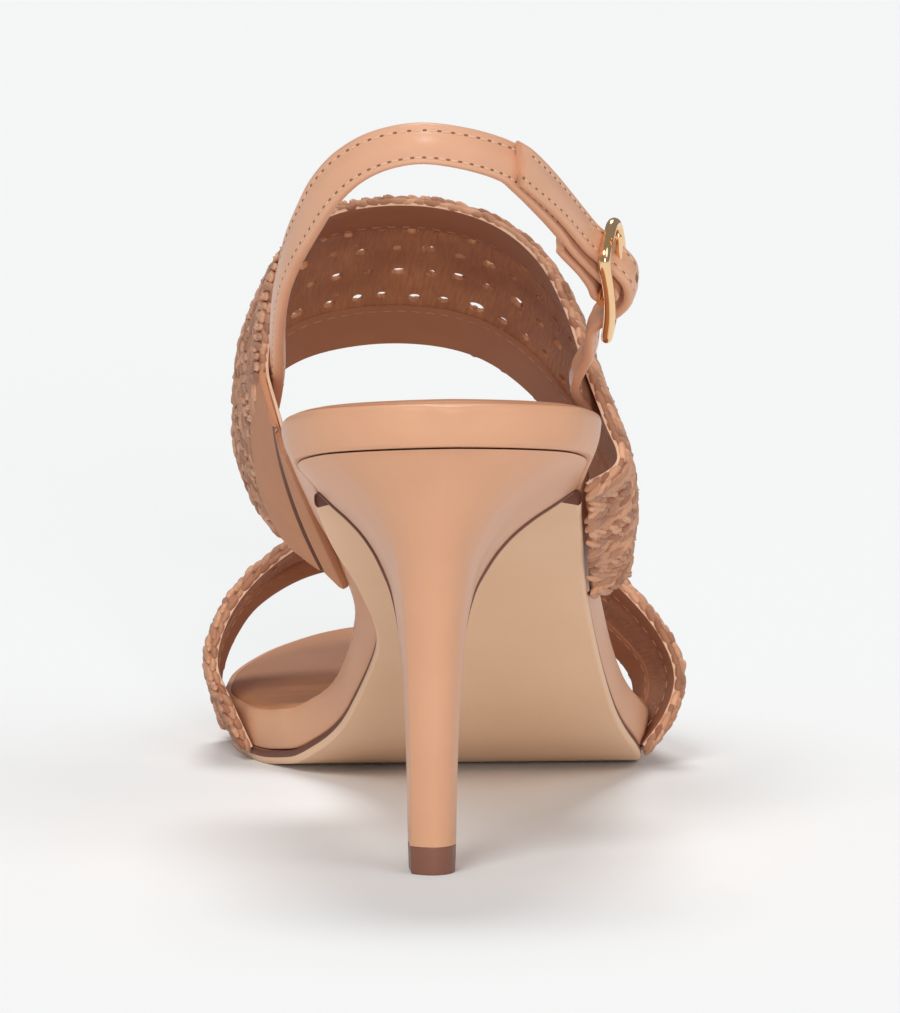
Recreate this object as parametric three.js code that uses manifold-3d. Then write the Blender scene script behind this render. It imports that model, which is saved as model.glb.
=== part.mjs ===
// Heeled sandal for the right foot, with two woven bands and a buckled ankle strap
// Millimetres: +Y runs toward the toe, +X to the outer side of the foot, +Z up
// The origin is the centre of the top lift's lower face, on the floor

import * as THREE from 'three';
import { mergeVertices } from 'three/addons/utils/BufferGeometryUtils.js';
import Module from 'manifold-3d';

const wasm = await Module();
wasm.setup();

// Sole sizes
const SOLE_LENGTH = 227;
const SEAT_OVERHANG = 24;
const SEAT_HEIGHT = 75;
const TOE_SPRING = 6.5;
const BALL_WIDTH = 77;
const SEAT_SHIFT = 1.9;
const OUTSOLE_THICKNESS = 2.5;
const FOOTBED_THICKNESS = 7.5;
const INSOLE_THICKNESS = 1.5;
const RIM_BEVEL = 1.5;
const WAIST_BEVEL = 3.2;
const EDGE_ROUND = 0.8;
const SEAT_DISH = 1.2;
const INSOLE_MARGIN = 1.6;

// Heel sizes
const TOP_LIFT_HEIGHT = 5;
const TIP_WIDTH = 8.2;
const TIP_DEPTH = 9;
const HEEL_MARGIN = 2.8;
const BREAST_DISTANCE = 24;
const BREAST_HOLLOW = 9;

// Instep band sizes
const INSTEP_SPAN = 62;
const INSTEP_CENTRE = 3.5;
const INSTEP_RISE = 55;
const INSTEP_CROWN = 3;
const INSTEP_TUCK = 3.5;

// Toe band sizes
const TOE_BAND_SPAN = 85;
const TOE_BAND_CENTRE = 11;
const TOE_BAND_RISE = 37;
const TOE_BAND_CROWN = 1.5;

// Woven wall sizes
const WALL = 1.5;
const STRIP_RELIEF = 0.8;
const BRAID_RELIEF = 1.6;
const BRAID_WIDTH = 6.5;
const GAP_MARGIN = 0.24;

// Ankle strap and billet sizes
const LOOP_WIDTH = 52;
const LOOP_DEPTH = 48.5;
const LOOP_BACK = 14.5;
const LOOP_RISE = 44;
const STRAP_WIDTH = 7.2;
const STRAP_THICKNESS = 2;
const FOLD_THICKNESS = 1.5;
const BILLET_WIDTH = 6.6;
const BILLET_THICKNESS = 1.7;
const BILLET_SLANT = 5.5;
const STRAP_CHAMFER = 0.28;
const ANKLE_AXIS = 14.5;
const SKIVE_PLACE = 0.825;
const SKIVE_LENGTH = 0.25;

// Buckle sizes
const BUCKLE_LENGTH = 24;
const BUCKLE_WIDTH = 13;
const RAIL_DIAMETER = 2.1;
const BAR_DIAMETER = 1.8;
const BAR_SETBACK = 1.5;
const BUCKLE_BOW = 1.05;
const PRONG_DIAMETER = 1.2;
const BUCKLE_RISE = THREE.MathUtils.degToRad(47);
const BUCKLE_LEAN = THREE.MathUtils.degToRad(4.5);
const BUCKLE_TURN = THREE.MathUtils.degToRad(14);

// Fit between neighbours
const CLEARANCE = 0.3;

// Sole line: rise is a share of the seat's height, spring of the toe spring
const SOLE_LINE = [
  { along: 0, rise: 1, spring: 0 },
  { along: 0.106, rise: 0.937, spring: 0 },
  { along: 0.203, rise: 0.835, spring: 0 },
  { along: 0.304, rise: 0.7, spring: 0 },
  { along: 0.405, rise: 0.523, spring: 0 },
  { along: 0.48, rise: 0.349, spring: 0 },
  { along: 0.546, rise: 0.18, spring: 0 },
  { along: 0.599, rise: 0.072, spring: 0 },
  { along: 0.643, rise: 0.018, spring: 0 },
  { along: 0.696, rise: 0, spring: 0 },
  { along: 0.775, rise: 0, spring: 0 },
  { along: 0.833, rise: 0, spring: 0.12 },
  { along: 0.899, rise: 0, spring: 0.43 },
  { along: 1, rise: 0, spring: 1 },
];

// Rim outline on either side of the foot's axis, as shares of the ball width
const RIM_OUTLINE = [
  { along: 0, inner: 0, outer: 0 },
  { along: 0.026, inner: 0.225, outer: 0.225 },
  { along: 0.062, inner: 0.314, outer: 0.314 },
  { along: 0.123, inner: 0.362, outer: 0.364 },
  { along: 0.203, inner: 0.338, outer: 0.36 },
  { along: 0.304, inner: 0.285, outer: 0.385 },
  { along: 0.405, inner: 0.19, outer: 0.42 },
  { along: 0.48, inner: 0.13, outer: 0.465 },
  { along: 0.546, inner: 0.155, outer: 0.52 },
  { along: 0.634, inner: 0.27, outer: 0.605 },
  { along: 0.722, inner: 0.375, outer: 0.625 },
  { along: 0.789, inner: 0.402, outer: 0.585 },
  { along: 0.855, inner: 0.382, outer: 0.5 },
  { along: 0.921, inner: 0.3, outer: 0.375 },
  { along: 0.967, inner: 0.19, outer: 0.24 },
  { along: 1, inner: 0, outer: 0 },
];

// Heel: shares of the way from the tip's outline to the seat's, by height
const HEEL_FLARE = [
  { up: 0, side: 0, back: 0, front: 0 },
  { up: 0.22, side: 0.014, back: 0.03, front: 0.04 },
  { up: 0.45, side: 0.048, back: 0.12, front: 0.1 },
  { up: 0.6, side: 0.095, back: 0.25, front: 0.17 },
  { up: 0.72, side: 0.165, back: 0.41, front: 0.27 },
  { up: 0.81, side: 0.3, back: 0.57, front: 0.4 },
  { up: 0.875, side: 0.46, back: 0.7, front: 0.55 },
  { up: 0.925, side: 0.65, back: 0.81, front: 0.72 },
  { up: 0.96, side: 0.82, back: 0.9, front: 0.86 },
  { up: 1, side: 1, back: 1, front: 1 },
];

// Instep band: side is a share of half its span, along of the sole, lift of its rise above the footbed
const INSTEP_REAR = [
  { side: -0.93, along: 0.229, lift: 0.13 },
  { side: -0.977, along: 0.251, lift: 0.274 },
  { side: -0.965, along: 0.269, lift: 0.382 },
  { side: -0.913, along: 0.295, lift: 0.563 },
  { side: -0.832, along: 0.322, lift: 0.737 },
  { side: -0.63, along: 0.352, lift: 0.918 },
  { side: -0.33, along: 0.374, lift: 1.004 },
  { side: 0.048, along: 0.379, lift: 1.009 },
  { side: 0.37, along: 0.366, lift: 0.925 },
  { side: 0.597, along: 0.344, lift: 0.777 },
  { side: 0.742, along: 0.311, lift: 0.56 },
  { side: 0.839, along: 0.273, lift: 0.307 },
  { side: 0.935, along: 0.238, lift: 0.086 },
  { side: 0.994, along: 0.22, lift: -0.056 },
];
const INSTEP_FRONT = [
  { side: -0.53, along: 0.449, lift: 0 },
  { side: -0.758, along: 0.48, lift: 0.18 },
  { side: -0.935, along: 0.507, lift: 0.41 },
  { side: -1, along: 0.524, lift: 0.63 },
  { side: -0.935, along: 0.535, lift: 0.81 },
  { side: -0.694, along: 0.544, lift: 0.953 },
  { side: -0.306, along: 0.548, lift: 1.02 },
  { side: 0.113, along: 0.546, lift: 1.01 },
  { side: 0.403, along: 0.537, lift: 0.93 },
  { side: 0.66, along: 0.518, lift: 0.754 },
  { side: 0.871, along: 0.493, lift: 0.516 },
  { side: 1.048, along: 0.467, lift: 0.247 },
  { side: 1.135, along: 0.445, lift: 0.03 },
  { side: 1.12, along: 0.427, lift: -0.11 },
];
const INSTEP_FOOT = { rearInner: 0.203, frontInner: 0.423, rearOuter: 0.198, frontOuter: 0.414 };

// Toe band, in the same shares of its own span and rise
const TOE_BAND_REAR = [
  { side: -0.93, along: 0.705, lift: 0.03 },
  { side: -0.988, along: 0.714, lift: 0.208 },
  { side: -0.94, along: 0.718, lift: 0.424 },
  { side: -0.81, along: 0.722, lift: 0.627 },
  { side: -0.54, along: 0.727, lift: 0.843 },
  { side: -0.21, along: 0.727, lift: 0.992 },
  { side: 0.118, along: 0.725, lift: 1.03 },
  { side: 0.47, along: 0.714, lift: 0.897 },
  { side: 0.784, along: 0.687, lift: 0.585 },
  { side: 0.953, along: 0.67, lift: 0.336 },
  { side: 1.005, along: 0.659, lift: 0.141 },
  { side: 0.953, along: 0.645, lift: -0.05 },
];
const TOE_BAND_FRONT = [
  { side: -0.942, along: 0.822, lift: 0.014 },
  { side: -0.922, along: 0.828, lift: 0.11 },
  { side: -0.87, along: 0.839, lift: 0.225 },
  { side: -0.776, along: 0.85, lift: 0.35 },
  { side: -0.565, along: 0.866, lift: 0.47 },
  { side: -0.306, along: 0.877, lift: 0.515 },
  { side: -0.024, along: 0.877, lift: 0.527 },
  { side: 0.259, along: 0.868, lift: 0.484 },
  { side: 0.518, along: 0.844, lift: 0.372 },
  { side: 0.706, along: 0.813, lift: 0.237 },
  { side: 0.842, along: 0.791, lift: 0.11 },
  { side: 0.878, along: 0.775, lift: 0.014 },
];
const TOE_BAND_FOOT = { rearInner: 0.7, frontInner: 0.819, rearOuter: 0.634, frontOuter: 0.767 };

// Roots of the two straps inside the instep band, as shares round it and across it
const STRAP_ROOT = [
  { round: 0.128, across: 0.2 },
  { round: 0.136, across: 0.04 },
];
const BILLET_ROOT = [
  { round: 0.845, across: 0.24 },
  { round: 0.835, across: 0.12 },
  { round: 0.825, across: -0.01 },
];

// Ankle loop from the inner side round to the outer side: shares of its half width, depth and rise
const ANKLE_LOOP = [
  { across: -0.985, forward: 0.835, lift: 0.19 },
  { across: -0.977, forward: 0.67, lift: 0.345 },
  { across: -0.919, forward: 0.495, lift: 0.523 },
  { across: -0.83, forward: 0.35, lift: 0.664 },
  { across: -0.73, forward: 0.227, lift: 0.79 },
  { across: -0.585, forward: 0.13, lift: 0.893 },
  { across: -0.392, forward: 0.052, lift: 0.964 },
  { across: -0.135, forward: 0.004, lift: 0.998 },
  { across: 0.173, forward: 0.025, lift: 0.975 },
  { across: 0.48, forward: 0.124, lift: 0.909 },
];
const BUCKLE_PLACE = { across: 1.224, forward: 0.649, lift: 0.3835 };

// Courses through the buckle, in buckle lengths: up along the strap, out from the bar and across it
const STRAP_COURSE = [
  { up: 1.3028, out: -0.5457, across: -0.2258 },
  { up: 0.9642, out: -0.4095, across: -0.1376 },
  { up: 0.6205, out: -0.2781, across: -0.0564 },
  { up: 0.4208, out: -0.1958, across: -0.0208 },
  { up: 0.2417, out: -0.0917, across: 0 },
];
const STRAP_RETURN = [
  { up: 0.05, out: -0.0958, across: 0 },
  { up: 0.1917, out: -0.1667, across: 0 },
  { up: 0.375, out: -0.2792, across: -0.0167 },
  { up: 0.4667, out: -0.3208, across: -0.0333 },
];
const BILLET_COURSE = [
  { up: -0.7583, out: -0.1333, across: 0 },
  { up: -0.6, out: -0.1188, across: 0 },
  { up: -0.4562, out: -0.0958, across: 0 },
  { up: -0.3417, out: -0.0146, across: 0 },
  { up: -0.225, out: 0.0917, across: 0 },
  { up: -0.1125, out: 0.1604, across: 0 },
  { up: 0, out: 0.1812, across: 0 },
  { up: 0.1125, out: 0.1625, across: 0 },
  { up: 0.225, out: 0.0917, across: 0 },
  { up: 0.3417, out: -0.0167, across: 0 },
  { up: 0.4562, out: -0.0979, across: -0.0167 },
  { up: 0.6474, out: -0.1812, across: -0.0544 },
  { up: 0.8575, out: -0.2612, across: -0.1036 },
  { up: 1.0752, out: -0.3486, across: -0.1621 },
  { up: 1.2943, out: -0.4405, across: -0.2306 },
  { up: 1.5092, out: -0.5427, across: -0.2996 },
  { up: 1.5996, out: -0.6063, across: -0.3351 },
];
const PRONG_COURSE = [
  { up: 0.0125, out: 0.0813, across: 0 },
  { up: 0.1042, out: 0.0938, across: 0 },
  { up: 0.225, out: 0.0967, across: 0 },
  { up: 0.3583, out: 0.0975, across: 0 },
  { up: 0.4562, out: 0.0983, across: 0 },
  { up: 0.525, out: 0.0938, across: 0 },
];

// Finishes
const nude = new THREE.MeshStandardMaterial({ color: 0xd6a88b, roughness: 0.5, metalness: 0 });
const lining = new THREE.MeshStandardMaterial({ color: 0xc99a7c, roughness: 0.6, metalness: 0 });
const sole = new THREE.MeshStandardMaterial({ color: 0xdcbc9a, roughness: 0.55, metalness: 0 });
const lift = new THREE.MeshStandardMaterial({ color: 0x9c6a4e, roughness: 0.5, metalness: 0 });
const raffia = new THREE.MeshStandardMaterial({ color: 0xcf9f80, roughness: 0.9, metalness: 0 });
const gold = new THREE.MeshStandardMaterial({ color: 0xe8b88a, roughness: 0.2, metalness: 1 });

// Smooth interpolation of a table's column, which never overshoots its rows
function monotone(rows, key, column, at) {
  const last = rows.length - 1;
  let index = rows.findIndex((row) => row[key] >= at) - 1;
  if (at >= rows[last][key]) index = last - 1;
  index = Math.max(0, Math.min(last - 1, index));
  const secant = (i) => (rows[i + 1][column] - rows[i][column]) / (rows[i + 1][key] - rows[i][key]);
  const tangent = (i) => {
    if (i === 0) return secant(0);
    if (i === last) return secant(last - 1);
    const before = secant(i - 1);
    const after = secant(i);
    return before * after <= 0 ? 0 : (2 * before * after) / (before + after);
  };
  const span = rows[index + 1][key] - rows[index][key];
  const t = Math.max(0, Math.min(1, (at - rows[index][key]) / span));
  const t2 = t * t;
  const t3 = t2 * t;
  const start = (2 * t3 - 3 * t2 + 1) * rows[index][column] + (t3 - 2 * t2 + t) * span * tangent(index);
  const end = (3 * t2 - 2 * t3) * rows[index + 1][column] + (t3 - t2) * span * tangent(index + 1);
  return start + end;
}

const smoothstep = THREE.MathUtils.smoothstep;
const lerp = THREE.MathUtils.lerp;

// Indexed closed surface from points and faces, turned to face outwards
function solidFrom(points, faces) {
  const index = [];
  for (const face of faces) {
    for (let i = 1; i + 1 < face.length; i += 1) index.push(face[0], face[i], face[i + 1]);
  }
  let volume = 0;
  for (let i = 0; i < index.length; i += 3) {
    const [a, b, c] = [points[index[i]], points[index[i + 1]], points[index[i + 2]]];
    volume += a.dot(b.clone().cross(c));
  }
  if (volume < 0) index.reverse();
  const geometry = new THREE.BufferGeometry().setFromPoints(points);
  geometry.setIndex(index);
  geometry.computeVertexNormals();
  return geometry;
}

// Skin over a row of closed rings, joined end to end or closed by a cap on each end
// A cap gives an end ring's faces by its own indices; without one the end is a fan about its middle
function loft(rings, { closed = false, caps = [] } = {}) {
  const points = rings.flat();
  const count = rings[0].length;
  const faces = [];
  const spans = closed ? rings.length : rings.length - 1;
  for (let i = 0; i < spans; i += 1) {
    const next = (i + 1) % rings.length;
    for (let j = 0; j < count; j += 1) {
      const k = (j + 1) % count;
      faces.push([i * count + j, i * count + k, next * count + k, next * count + j]);
    }
  }
  if (closed) return solidFrom(points, faces);
  [0, rings.length - 1].forEach((ring, end) => {
    const start = ring * count;
    let cap = [];
    if (caps[end]) {
      cap = caps[end](count).map((face) => face.map((i) => start + i));
    } else {
      const middle = rings[ring].reduce((sum, p) => sum.add(p), new THREE.Vector3()).divideScalar(count);
      points.push(middle);
      for (let j = 0; j < count; j += 1) {
        cap.push([points.length - 1, start + j, start + ((j + 1) % count)]);
      }
    }
    for (const face of cap) faces.push(end === 0 ? face.reverse() : face);
  });
  return solidFrom(points, faces);
}

function toManifold(geometry) {
  const bare = geometry.clone();
  bare.deleteAttribute('normal');
  if (bare.getAttribute('uv')) bare.deleteAttribute('uv');
  const merged = mergeVertices(bare, 1e-4);
  const vertProperties = new Float32Array(merged.getAttribute('position').array);
  const triVerts = new Uint32Array(merged.getIndex().array);
  return new wasm.Manifold(new wasm.Mesh({ numProp: 3, vertProperties, triVerts }));
}

function fromManifold(manifold) {
  const mesh = manifold.getMesh();
  const geometry = new THREE.BufferGeometry();
  geometry.setAttribute('position', new THREE.BufferAttribute(mesh.vertProperties, 3));
  geometry.setIndex(new THREE.BufferAttribute(mesh.triVerts, 1));
  geometry.computeVertexNormals();
  return geometry;
}

// Sole geometry

const placeAlong = (along) => along * SOLE_LENGTH - SEAT_OVERHANG;
const shareAlong = (y) => (y + SEAT_OVERHANG) / SOLE_LENGTH;

function soleHeight(y) {
  const along = shareAlong(y);
  const rise = monotone(SOLE_LINE, 'along', 'rise', along) * SEAT_HEIGHT;
  return rise + monotone(SOLE_LINE, 'along', 'spring', along) * TOE_SPRING;
}

function soleSlope(y) {
  const step = 0.5;
  return (soleHeight(y + step) - soleHeight(y - step)) / (2 * step);
}

// Point at a height square to the sole line
function solePoint(x, y, height) {
  const slope = soleSlope(y);
  const shorten = 1 / Math.hypot(1, slope);
  return new THREE.Vector3(x, y - height * slope * shorten, soleHeight(y) + height * shorten);
}

// Height of the footbed's upper face straight above a place on the sole line
const footbedHeight = (y) => soleHeight(y) + FOOTBED_TOP * Math.hypot(1, soleSlope(y));

// The outline is smooth against this angle, which makes both ends round
const OUTLINE_BY_ANGLE = RIM_OUTLINE.map((row) => ({ ...row, angle: Math.acos(1 - 2 * row.along) }));
const INNER_WAIST = [0.1, 0.22, 0.42, 0.56];

function waistShare(along) {
  const [start, full, easing, end] = INNER_WAIST;
  return smoothstep(along, start, full) * (1 - smoothstep(along, easing, end));
}

// Place of the rim's edge on one side (-1 inner, 1 outer), drawn in by an inset and by the waist's bevel
function rimEdge(y, side, inset, waist = 0) {
  const along = THREE.MathUtils.clamp((y + SEAT_OVERHANG - inset) / (SOLE_LENGTH - 2 * inset), 0, 1);
  const column = side < 0 ? 'inner' : 'outer';
  const full = BALL_WIDTH * monotone(OUTLINE_BY_ANGLE, 'angle', column, Math.acos(1 - 2 * along));
  const bevel = side < 0 ? waist * WAIST_BEVEL * waistShare(along) : 0;
  return SEAT_SHIFT + side * (full - (inset * full) / (full + inset) - bevel);
}

const stationPlace = (angle, inset) =>
  -SEAT_OVERHANG + inset + ((SOLE_LENGTH - 2 * inset) * (1 - Math.cos(angle))) / 2;

const SEAT_END = 34;
const dish = (y, across) =>
  SEAT_DISH * (1 - across * across) * (1 - smoothstep(y, SEAT_END / 3, SEAT_END * 1.5));

const ACROSS = [-1, -0.55, 0, 0.55, 1];
const END_ANGLE = 0.014;
const SOLE_STATIONS = 32;

// Cap of a sole layer's narrow end: rungs from side to side at each level
function narrowCap(count) {
  const row = ACROSS.length;
  const levels = count / 2 - row;
  const faces = [];
  for (let i = 0; i < row; i += 1) faces.push([count - 1, i, i + 1]);
  for (let i = 1; i < levels; i += 1) faces.push([count - i, row - 1 + i, row + i, count - 1 - i]);
  for (let i = levels; i < levels + row; i += 1) faces.push([count - levels, row - 1 + i, row + i]);
  return faces;
}

// Cap of a sole layer's wide end: columns from the lower row to the upper row
function wideCap(count) {
  const row = ACROSS.length;
  const levels = count / 2 - row;
  const upper = (i) => 2 * row + levels - 1 - i;
  const left = Array.from({ length: levels }, (_, i) => count - levels + i);
  const right = Array.from({ length: levels }, (_, i) => row + i);
  const faces = [
    [1, upper(1), upper(0), ...left, 0],
    [row - 2, row - 1, ...right, upper(row - 1), upper(row - 2)],
  ];
  for (let i = 1; i + 2 < row; i += 1) faces.push([i, i + 1, upper(i + 1), upper(i)]);
  return faces;
}

const FOOTBED_BASE = OUTSOLE_THICKNESS + CLEARANCE;
const FOOTBED_TOP = FOOTBED_BASE + FOOTBED_THICKNESS;
const INSOLE_BASE = FOOTBED_TOP + CLEARANCE;

// Levels of a layer's side, from its lower edge to its upper edge
function footbedLevels(grown = 0) {
  const height = FOOTBED_THICKNESS + 2 * grown;
  const base = FOOTBED_BASE - grown;
  return [
    { height: base, inset: RIM_BEVEL - grown, waist: 1 },
    { height: base + 0.4 * height, inset: RIM_BEVEL / 3 - grown, waist: 0.45 },
    { height: base + 0.8 * height, inset: -grown, waist: 0 },
    { height: base + height, inset: EDGE_ROUND - grown, waist: 0 },
  ];
}

// Closed layer of the sole along the whole foot
function soleLayer(levels, dishedBase) {
  const rings = [];
  for (let i = 0; i <= SOLE_STATIONS; i += 1) {
    const angle = lerp(END_ANGLE, Math.PI - END_ANGLE, i / SOLE_STATIONS);
    const row = (level, across, dished) => {
      const y = stationPlace(angle, level.inset);
      const side = across < 0 ? -1 : 1;
      const edge = rimEdge(y, side, level.inset, level.waist);
      const x = lerp(SEAT_SHIFT, edge, Math.abs(across));
      return solePoint(x, y, level.height - (dished ? dish(y, across) : 0));
    };
    const first = levels[0];
    const last = levels[levels.length - 1];
    const middle = levels.slice(1, -1);
    rings.push([
      ...ACROSS.map((across) => row(first, across, dishedBase)),
      ...middle.map((level) => row(level, 1, false)),
      ...[...ACROSS].reverse().map((across) => row(last, across, true)),
      ...[...middle].reverse().map((level) => row(level, -1, false)),
    ]);
  }
  const cap = levels.length > 2 ? narrowCap : wideCap;
  return loft(rings, { caps: [cap, cap] });
}

function makeFootbed() {
  return soleLayer(footbedLevels(), false);
}

function makeInsole() {
  const edge = INSOLE_THICKNESS / 2;
  return soleLayer(
    [
      { height: INSOLE_BASE, inset: INSOLE_MARGIN, waist: 0 },
      { height: INSOLE_BASE + edge, inset: INSOLE_MARGIN, waist: 0 },
      { height: INSOLE_BASE + INSOLE_THICKNESS, inset: INSOLE_MARGIN + edge, waist: 0 },
    ],
    true,
  );
}

// Line across the foot where the heel's breast meets the outsole
const breastLine = (across) => BREAST_DISTANCE - BREAST_HOLLOW * (1 - across * across);

function makeOutsole() {
  const stations = 28;
  const startAngle = Math.acos(1 - 2 * shareAlong(BREAST_DISTANCE));
  const levels = [
    { height: 0, inset: RIM_BEVEL + OUTSOLE_THICKNESS / 4 },
    { height: OUTSOLE_THICKNESS / 3, inset: RIM_BEVEL },
    { height: OUTSOLE_THICKNESS, inset: RIM_BEVEL },
  ];
  const rings = [];
  for (let i = 0; i <= stations; i += 1) {
    const angle = lerp(startAngle, Math.PI - END_ANGLE, i / stations);
    const at = (level, across) => {
      const station = stationPlace(angle, level.inset);
      const pull = 1 - smoothstep(station, BREAST_DISTANCE, 2 * BREAST_DISTANCE);
      const y = station + (breastLine(across) + CLEARANCE - BREAST_DISTANCE) * pull;
      const side = across < 0 ? -1 : 1;
      const edge = rimEdge(y, side, level.inset, 1);
      return solePoint(lerp(SEAT_SHIFT, edge, Math.abs(across)), y, level.height);
    };
    rings.push([
      ...ACROSS.map((across) => at(levels[0], across)),
      at(levels[1], 1),
      ...[...ACROSS].reverse().map((across) => at(levels[2], across)),
      at(levels[1], -1),
    ]);
  }
  return loft(rings, { caps: [wideCap, narrowCap] });
}

// Heel geometry

// Loop round the seat from the inner breast corner, behind the heel, to the outer corner and back
function heelLoop() {
  const steps = 12;
  const front = [0.72, 0.4, 0, -0.4, -0.72];
  const corner = BREAST_DISTANCE - CLEARANCE;
  const cornerShare = (corner + SEAT_OVERHANG - HEEL_MARGIN) / (SOLE_LENGTH - 2 * HEEL_MARGIN);
  const cornerAngle = Math.acos(1 - 2 * cornerShare);
  const back = stationPlace(END_ANGLE, HEEL_MARGIN);
  const edgePoint = (side, angle) => {
    const y = stationPlace(angle, HEEL_MARGIN);
    const x = rimEdge(y, side, HEEL_MARGIN, 1);
    const wide = rimEdge(stationPlace(cornerAngle, HEEL_MARGIN), side, HEEL_MARGIN, 1) - SEAT_SHIFT;
    const across = (side * (x - SEAT_SHIFT)) / Math.abs(wide);
    return { x, y, across: side * Math.min(1, across), forward: (y - back) / (corner - back) };
  };
  const loop = [];
  for (let i = 0; i <= steps; i += 1) loop.push(edgePoint(-1, lerp(cornerAngle, END_ANGLE, i / steps)));
  for (let i = 0; i <= steps; i += 1) loop.push(edgePoint(1, lerp(END_ANGLE, cornerAngle, i / steps)));
  for (const across of front) {
    const y = breastLine(across) - CLEARANCE;
    const edge = rimEdge(corner, across < 0 ? -1 : 1, HEEL_MARGIN, 1);
    loop.push({ x: lerp(SEAT_SHIFT, edge, Math.abs(across)), y, across, forward: 1 });
  }
  return loop;
}

function heelRing(loop, up) {
  const side = monotone(HEEL_FLARE, 'up', 'side', up);
  const back = monotone(HEEL_FLARE, 'up', 'back', up);
  const front = monotone(HEEL_FLARE, 'up', 'front', up);
  return loop.map((point) => {
    const seat = solePoint(point.x, point.y, OUTSOLE_THICKNESS);
    const drift = lerp(back, front, smoothstep(point.forward, 0, 1));
    return new THREE.Vector3(
      lerp((point.across * TIP_WIDTH) / 2, seat.x, side),
      lerp((point.forward - 0.5) * TIP_DEPTH, seat.y, drift),
      lerp(TOP_LIFT_HEIGHT, seat.z, up),
    );
  });
}

function makeHeel() {
  const steps = 13;
  const loop = heelLoop();
  const rings = [];
  for (let i = 0; i <= steps; i += 1) rings.push(heelRing(loop, Math.sin((i / steps) * (Math.PI / 2))));
  return loft(rings);
}

function makeTopLift() {
  const taper = 0.96;
  const top = heelRing(heelLoop(), 0);
  const base = top.map((point) => new THREE.Vector3(point.x * taper, point.y * taper, 0));
  return loft([base, top]);
}

// Woven bands

function bandCurve(rows, centre, span, rise, foot) {
  const rimPoint = (along, side, height) => {
    const y = placeAlong(along);
    const share = THREE.MathUtils.clamp((FOOTBED_TOP - height) / FOOTBED_THICKNESS, 0, 1);
    const edge = rimEdge(y, side, RIM_BEVEL * share * share, share);
    return solePoint(edge + side * CLEARANCE, y, height);
  };
  const points = rows.map(
    (row) =>
      new THREE.Vector3(
        centre + (row.side * span) / 2,
        placeAlong(row.along),
        footbedHeight(placeAlong(row.along)) + row.lift * rise,
      ),
  );
  points.unshift(rimPoint(foot.inner, -1, foot.innerHeight));
  points.push(rimPoint(foot.outer, 1, foot.outerHeight));
  return new THREE.CatmullRomCurve3(points, false, 'centripetal');
}

// One wall over the foot: cells in columns round the foot and rows across the band
function makeBand(band) {
  const rear = band.rear.getSpacedPoints(band.columns);
  const front = band.front.getSpacedPoints(band.columns);
  const width = rear[Math.round(band.columns / 2)].distanceTo(front[Math.round(band.columns / 2)]);
  const braid = BRAID_WIDTH / width;
  const field = band.fieldRows;
  const shares = [0, braid * 0.3, braid * 0.7, braid];
  for (let i = 1; i < field; i += 1) shares.push(lerp(braid, 1 - braid, i / field));
  shares.push(1 - braid, 1 - braid * 0.7, 1 - braid * 0.3, 1);
  const edgeRows = 3;

  const surface = (column, share) => {
    const k = Math.min(band.columns - 1, Math.floor(column));
    const a = rear[k].clone().lerp(rear[k + 1], column - k);
    const b = front[k].clone().lerp(front[k + 1], column - k);
    return a.lerp(b, share);
  };
  const outward = (column, share) => {
    const round = surface(Math.min(band.columns, column + 1), share);
    round.sub(surface(Math.max(0, column - 1), share));
    const forward = surface(column, 1).sub(surface(column, 0));
    return round.cross(forward).normalize();
  };

  // A gap's corners close in on its middle by a share of its cell
  const gap = new Set(band.gaps.map(([column, row]) => `${column},${row + edgeRows}`));
  const shift = new Map();
  for (const [column, row] of band.gaps) {
    for (const [dk, dj] of [[0, 0], [1, 0], [0, 1], [1, 1]]) {
      const pull = { column: (1 - 2 * dk) * GAP_MARGIN, row: (1 - 2 * dj) * GAP_MARGIN };
      shift.set(`${column + dk},${row + edgeRows + dj}`, pull);
    }
  }

  const relief = (k, j) => {
    const last = shares.length - 1;
    const edge = Math.min(j, last - j);
    if (edge === 0) return WALL * 0.7;
    if (edge < edgeRows) return WALL + BRAID_RELIEF * ((k + edge) % 2 ? 1 : 0.72);
    if (edge === edgeRows) return WALL;
    return WALL + STRIP_RELIEF * ((k + j) % 2);
  };

  const points = [];
  const rowCount = shares.length;
  for (let k = 0; k <= band.columns; k += 1) {
    for (let j = 0; j < rowCount; j += 1) {
      const pull = shift.get(`${k},${j}`) ?? { column: 0, row: 0 };
      const toward = shares[Math.max(0, Math.min(rowCount - 1, j + Math.sign(pull.row)))];
      const share = lerp(shares[j], toward, Math.abs(pull.row));
      const column = k + pull.column;
      const normal = outward(column, share);
      const crown = band.crown * 4 * share * (1 - share);
      const fade = smoothstep(Math.min(k, band.columns - k), 0, band.columns * 0.12);
      const inside = surface(column, share).addScaledVector(normal, crown * fade);
      points.push(inside, inside.clone().addScaledVector(normal, relief(k, j)));
    }
  }
  const inner = (k, j) => 2 * (k * rowCount + j);
  const outer = (k, j) => inner(k, j) + 1;

  const faces = [];
  const edges = new Map();
  for (let k = 0; k < band.columns; k += 1) {
    for (let j = 0; j + 1 < rowCount; j += 1) {
      if (gap.has(`${k},${j}`)) continue;
      const corners = [[k, j], [k + 1, j], [k + 1, j + 1], [k, j + 1]];
      faces.push(corners.map(([a, b]) => outer(a, b)));
      faces.push(corners.map(([a, b]) => inner(a, b)).reverse());
      corners.forEach(([a, b], i) => {
        const [c, d] = corners[(i + 1) % 4];
        edges.set(`${inner(a, b)}>${inner(c, d)}`, [inner(a, b), inner(c, d)]);
      });
    }
  }
  for (const [from, to] of edges.values()) {
    if (!edges.has(`${to}>${from}`)) faces.push([to + 1, from + 1, from, to]);
  }
  return solidFrom(points, faces);
}

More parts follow.
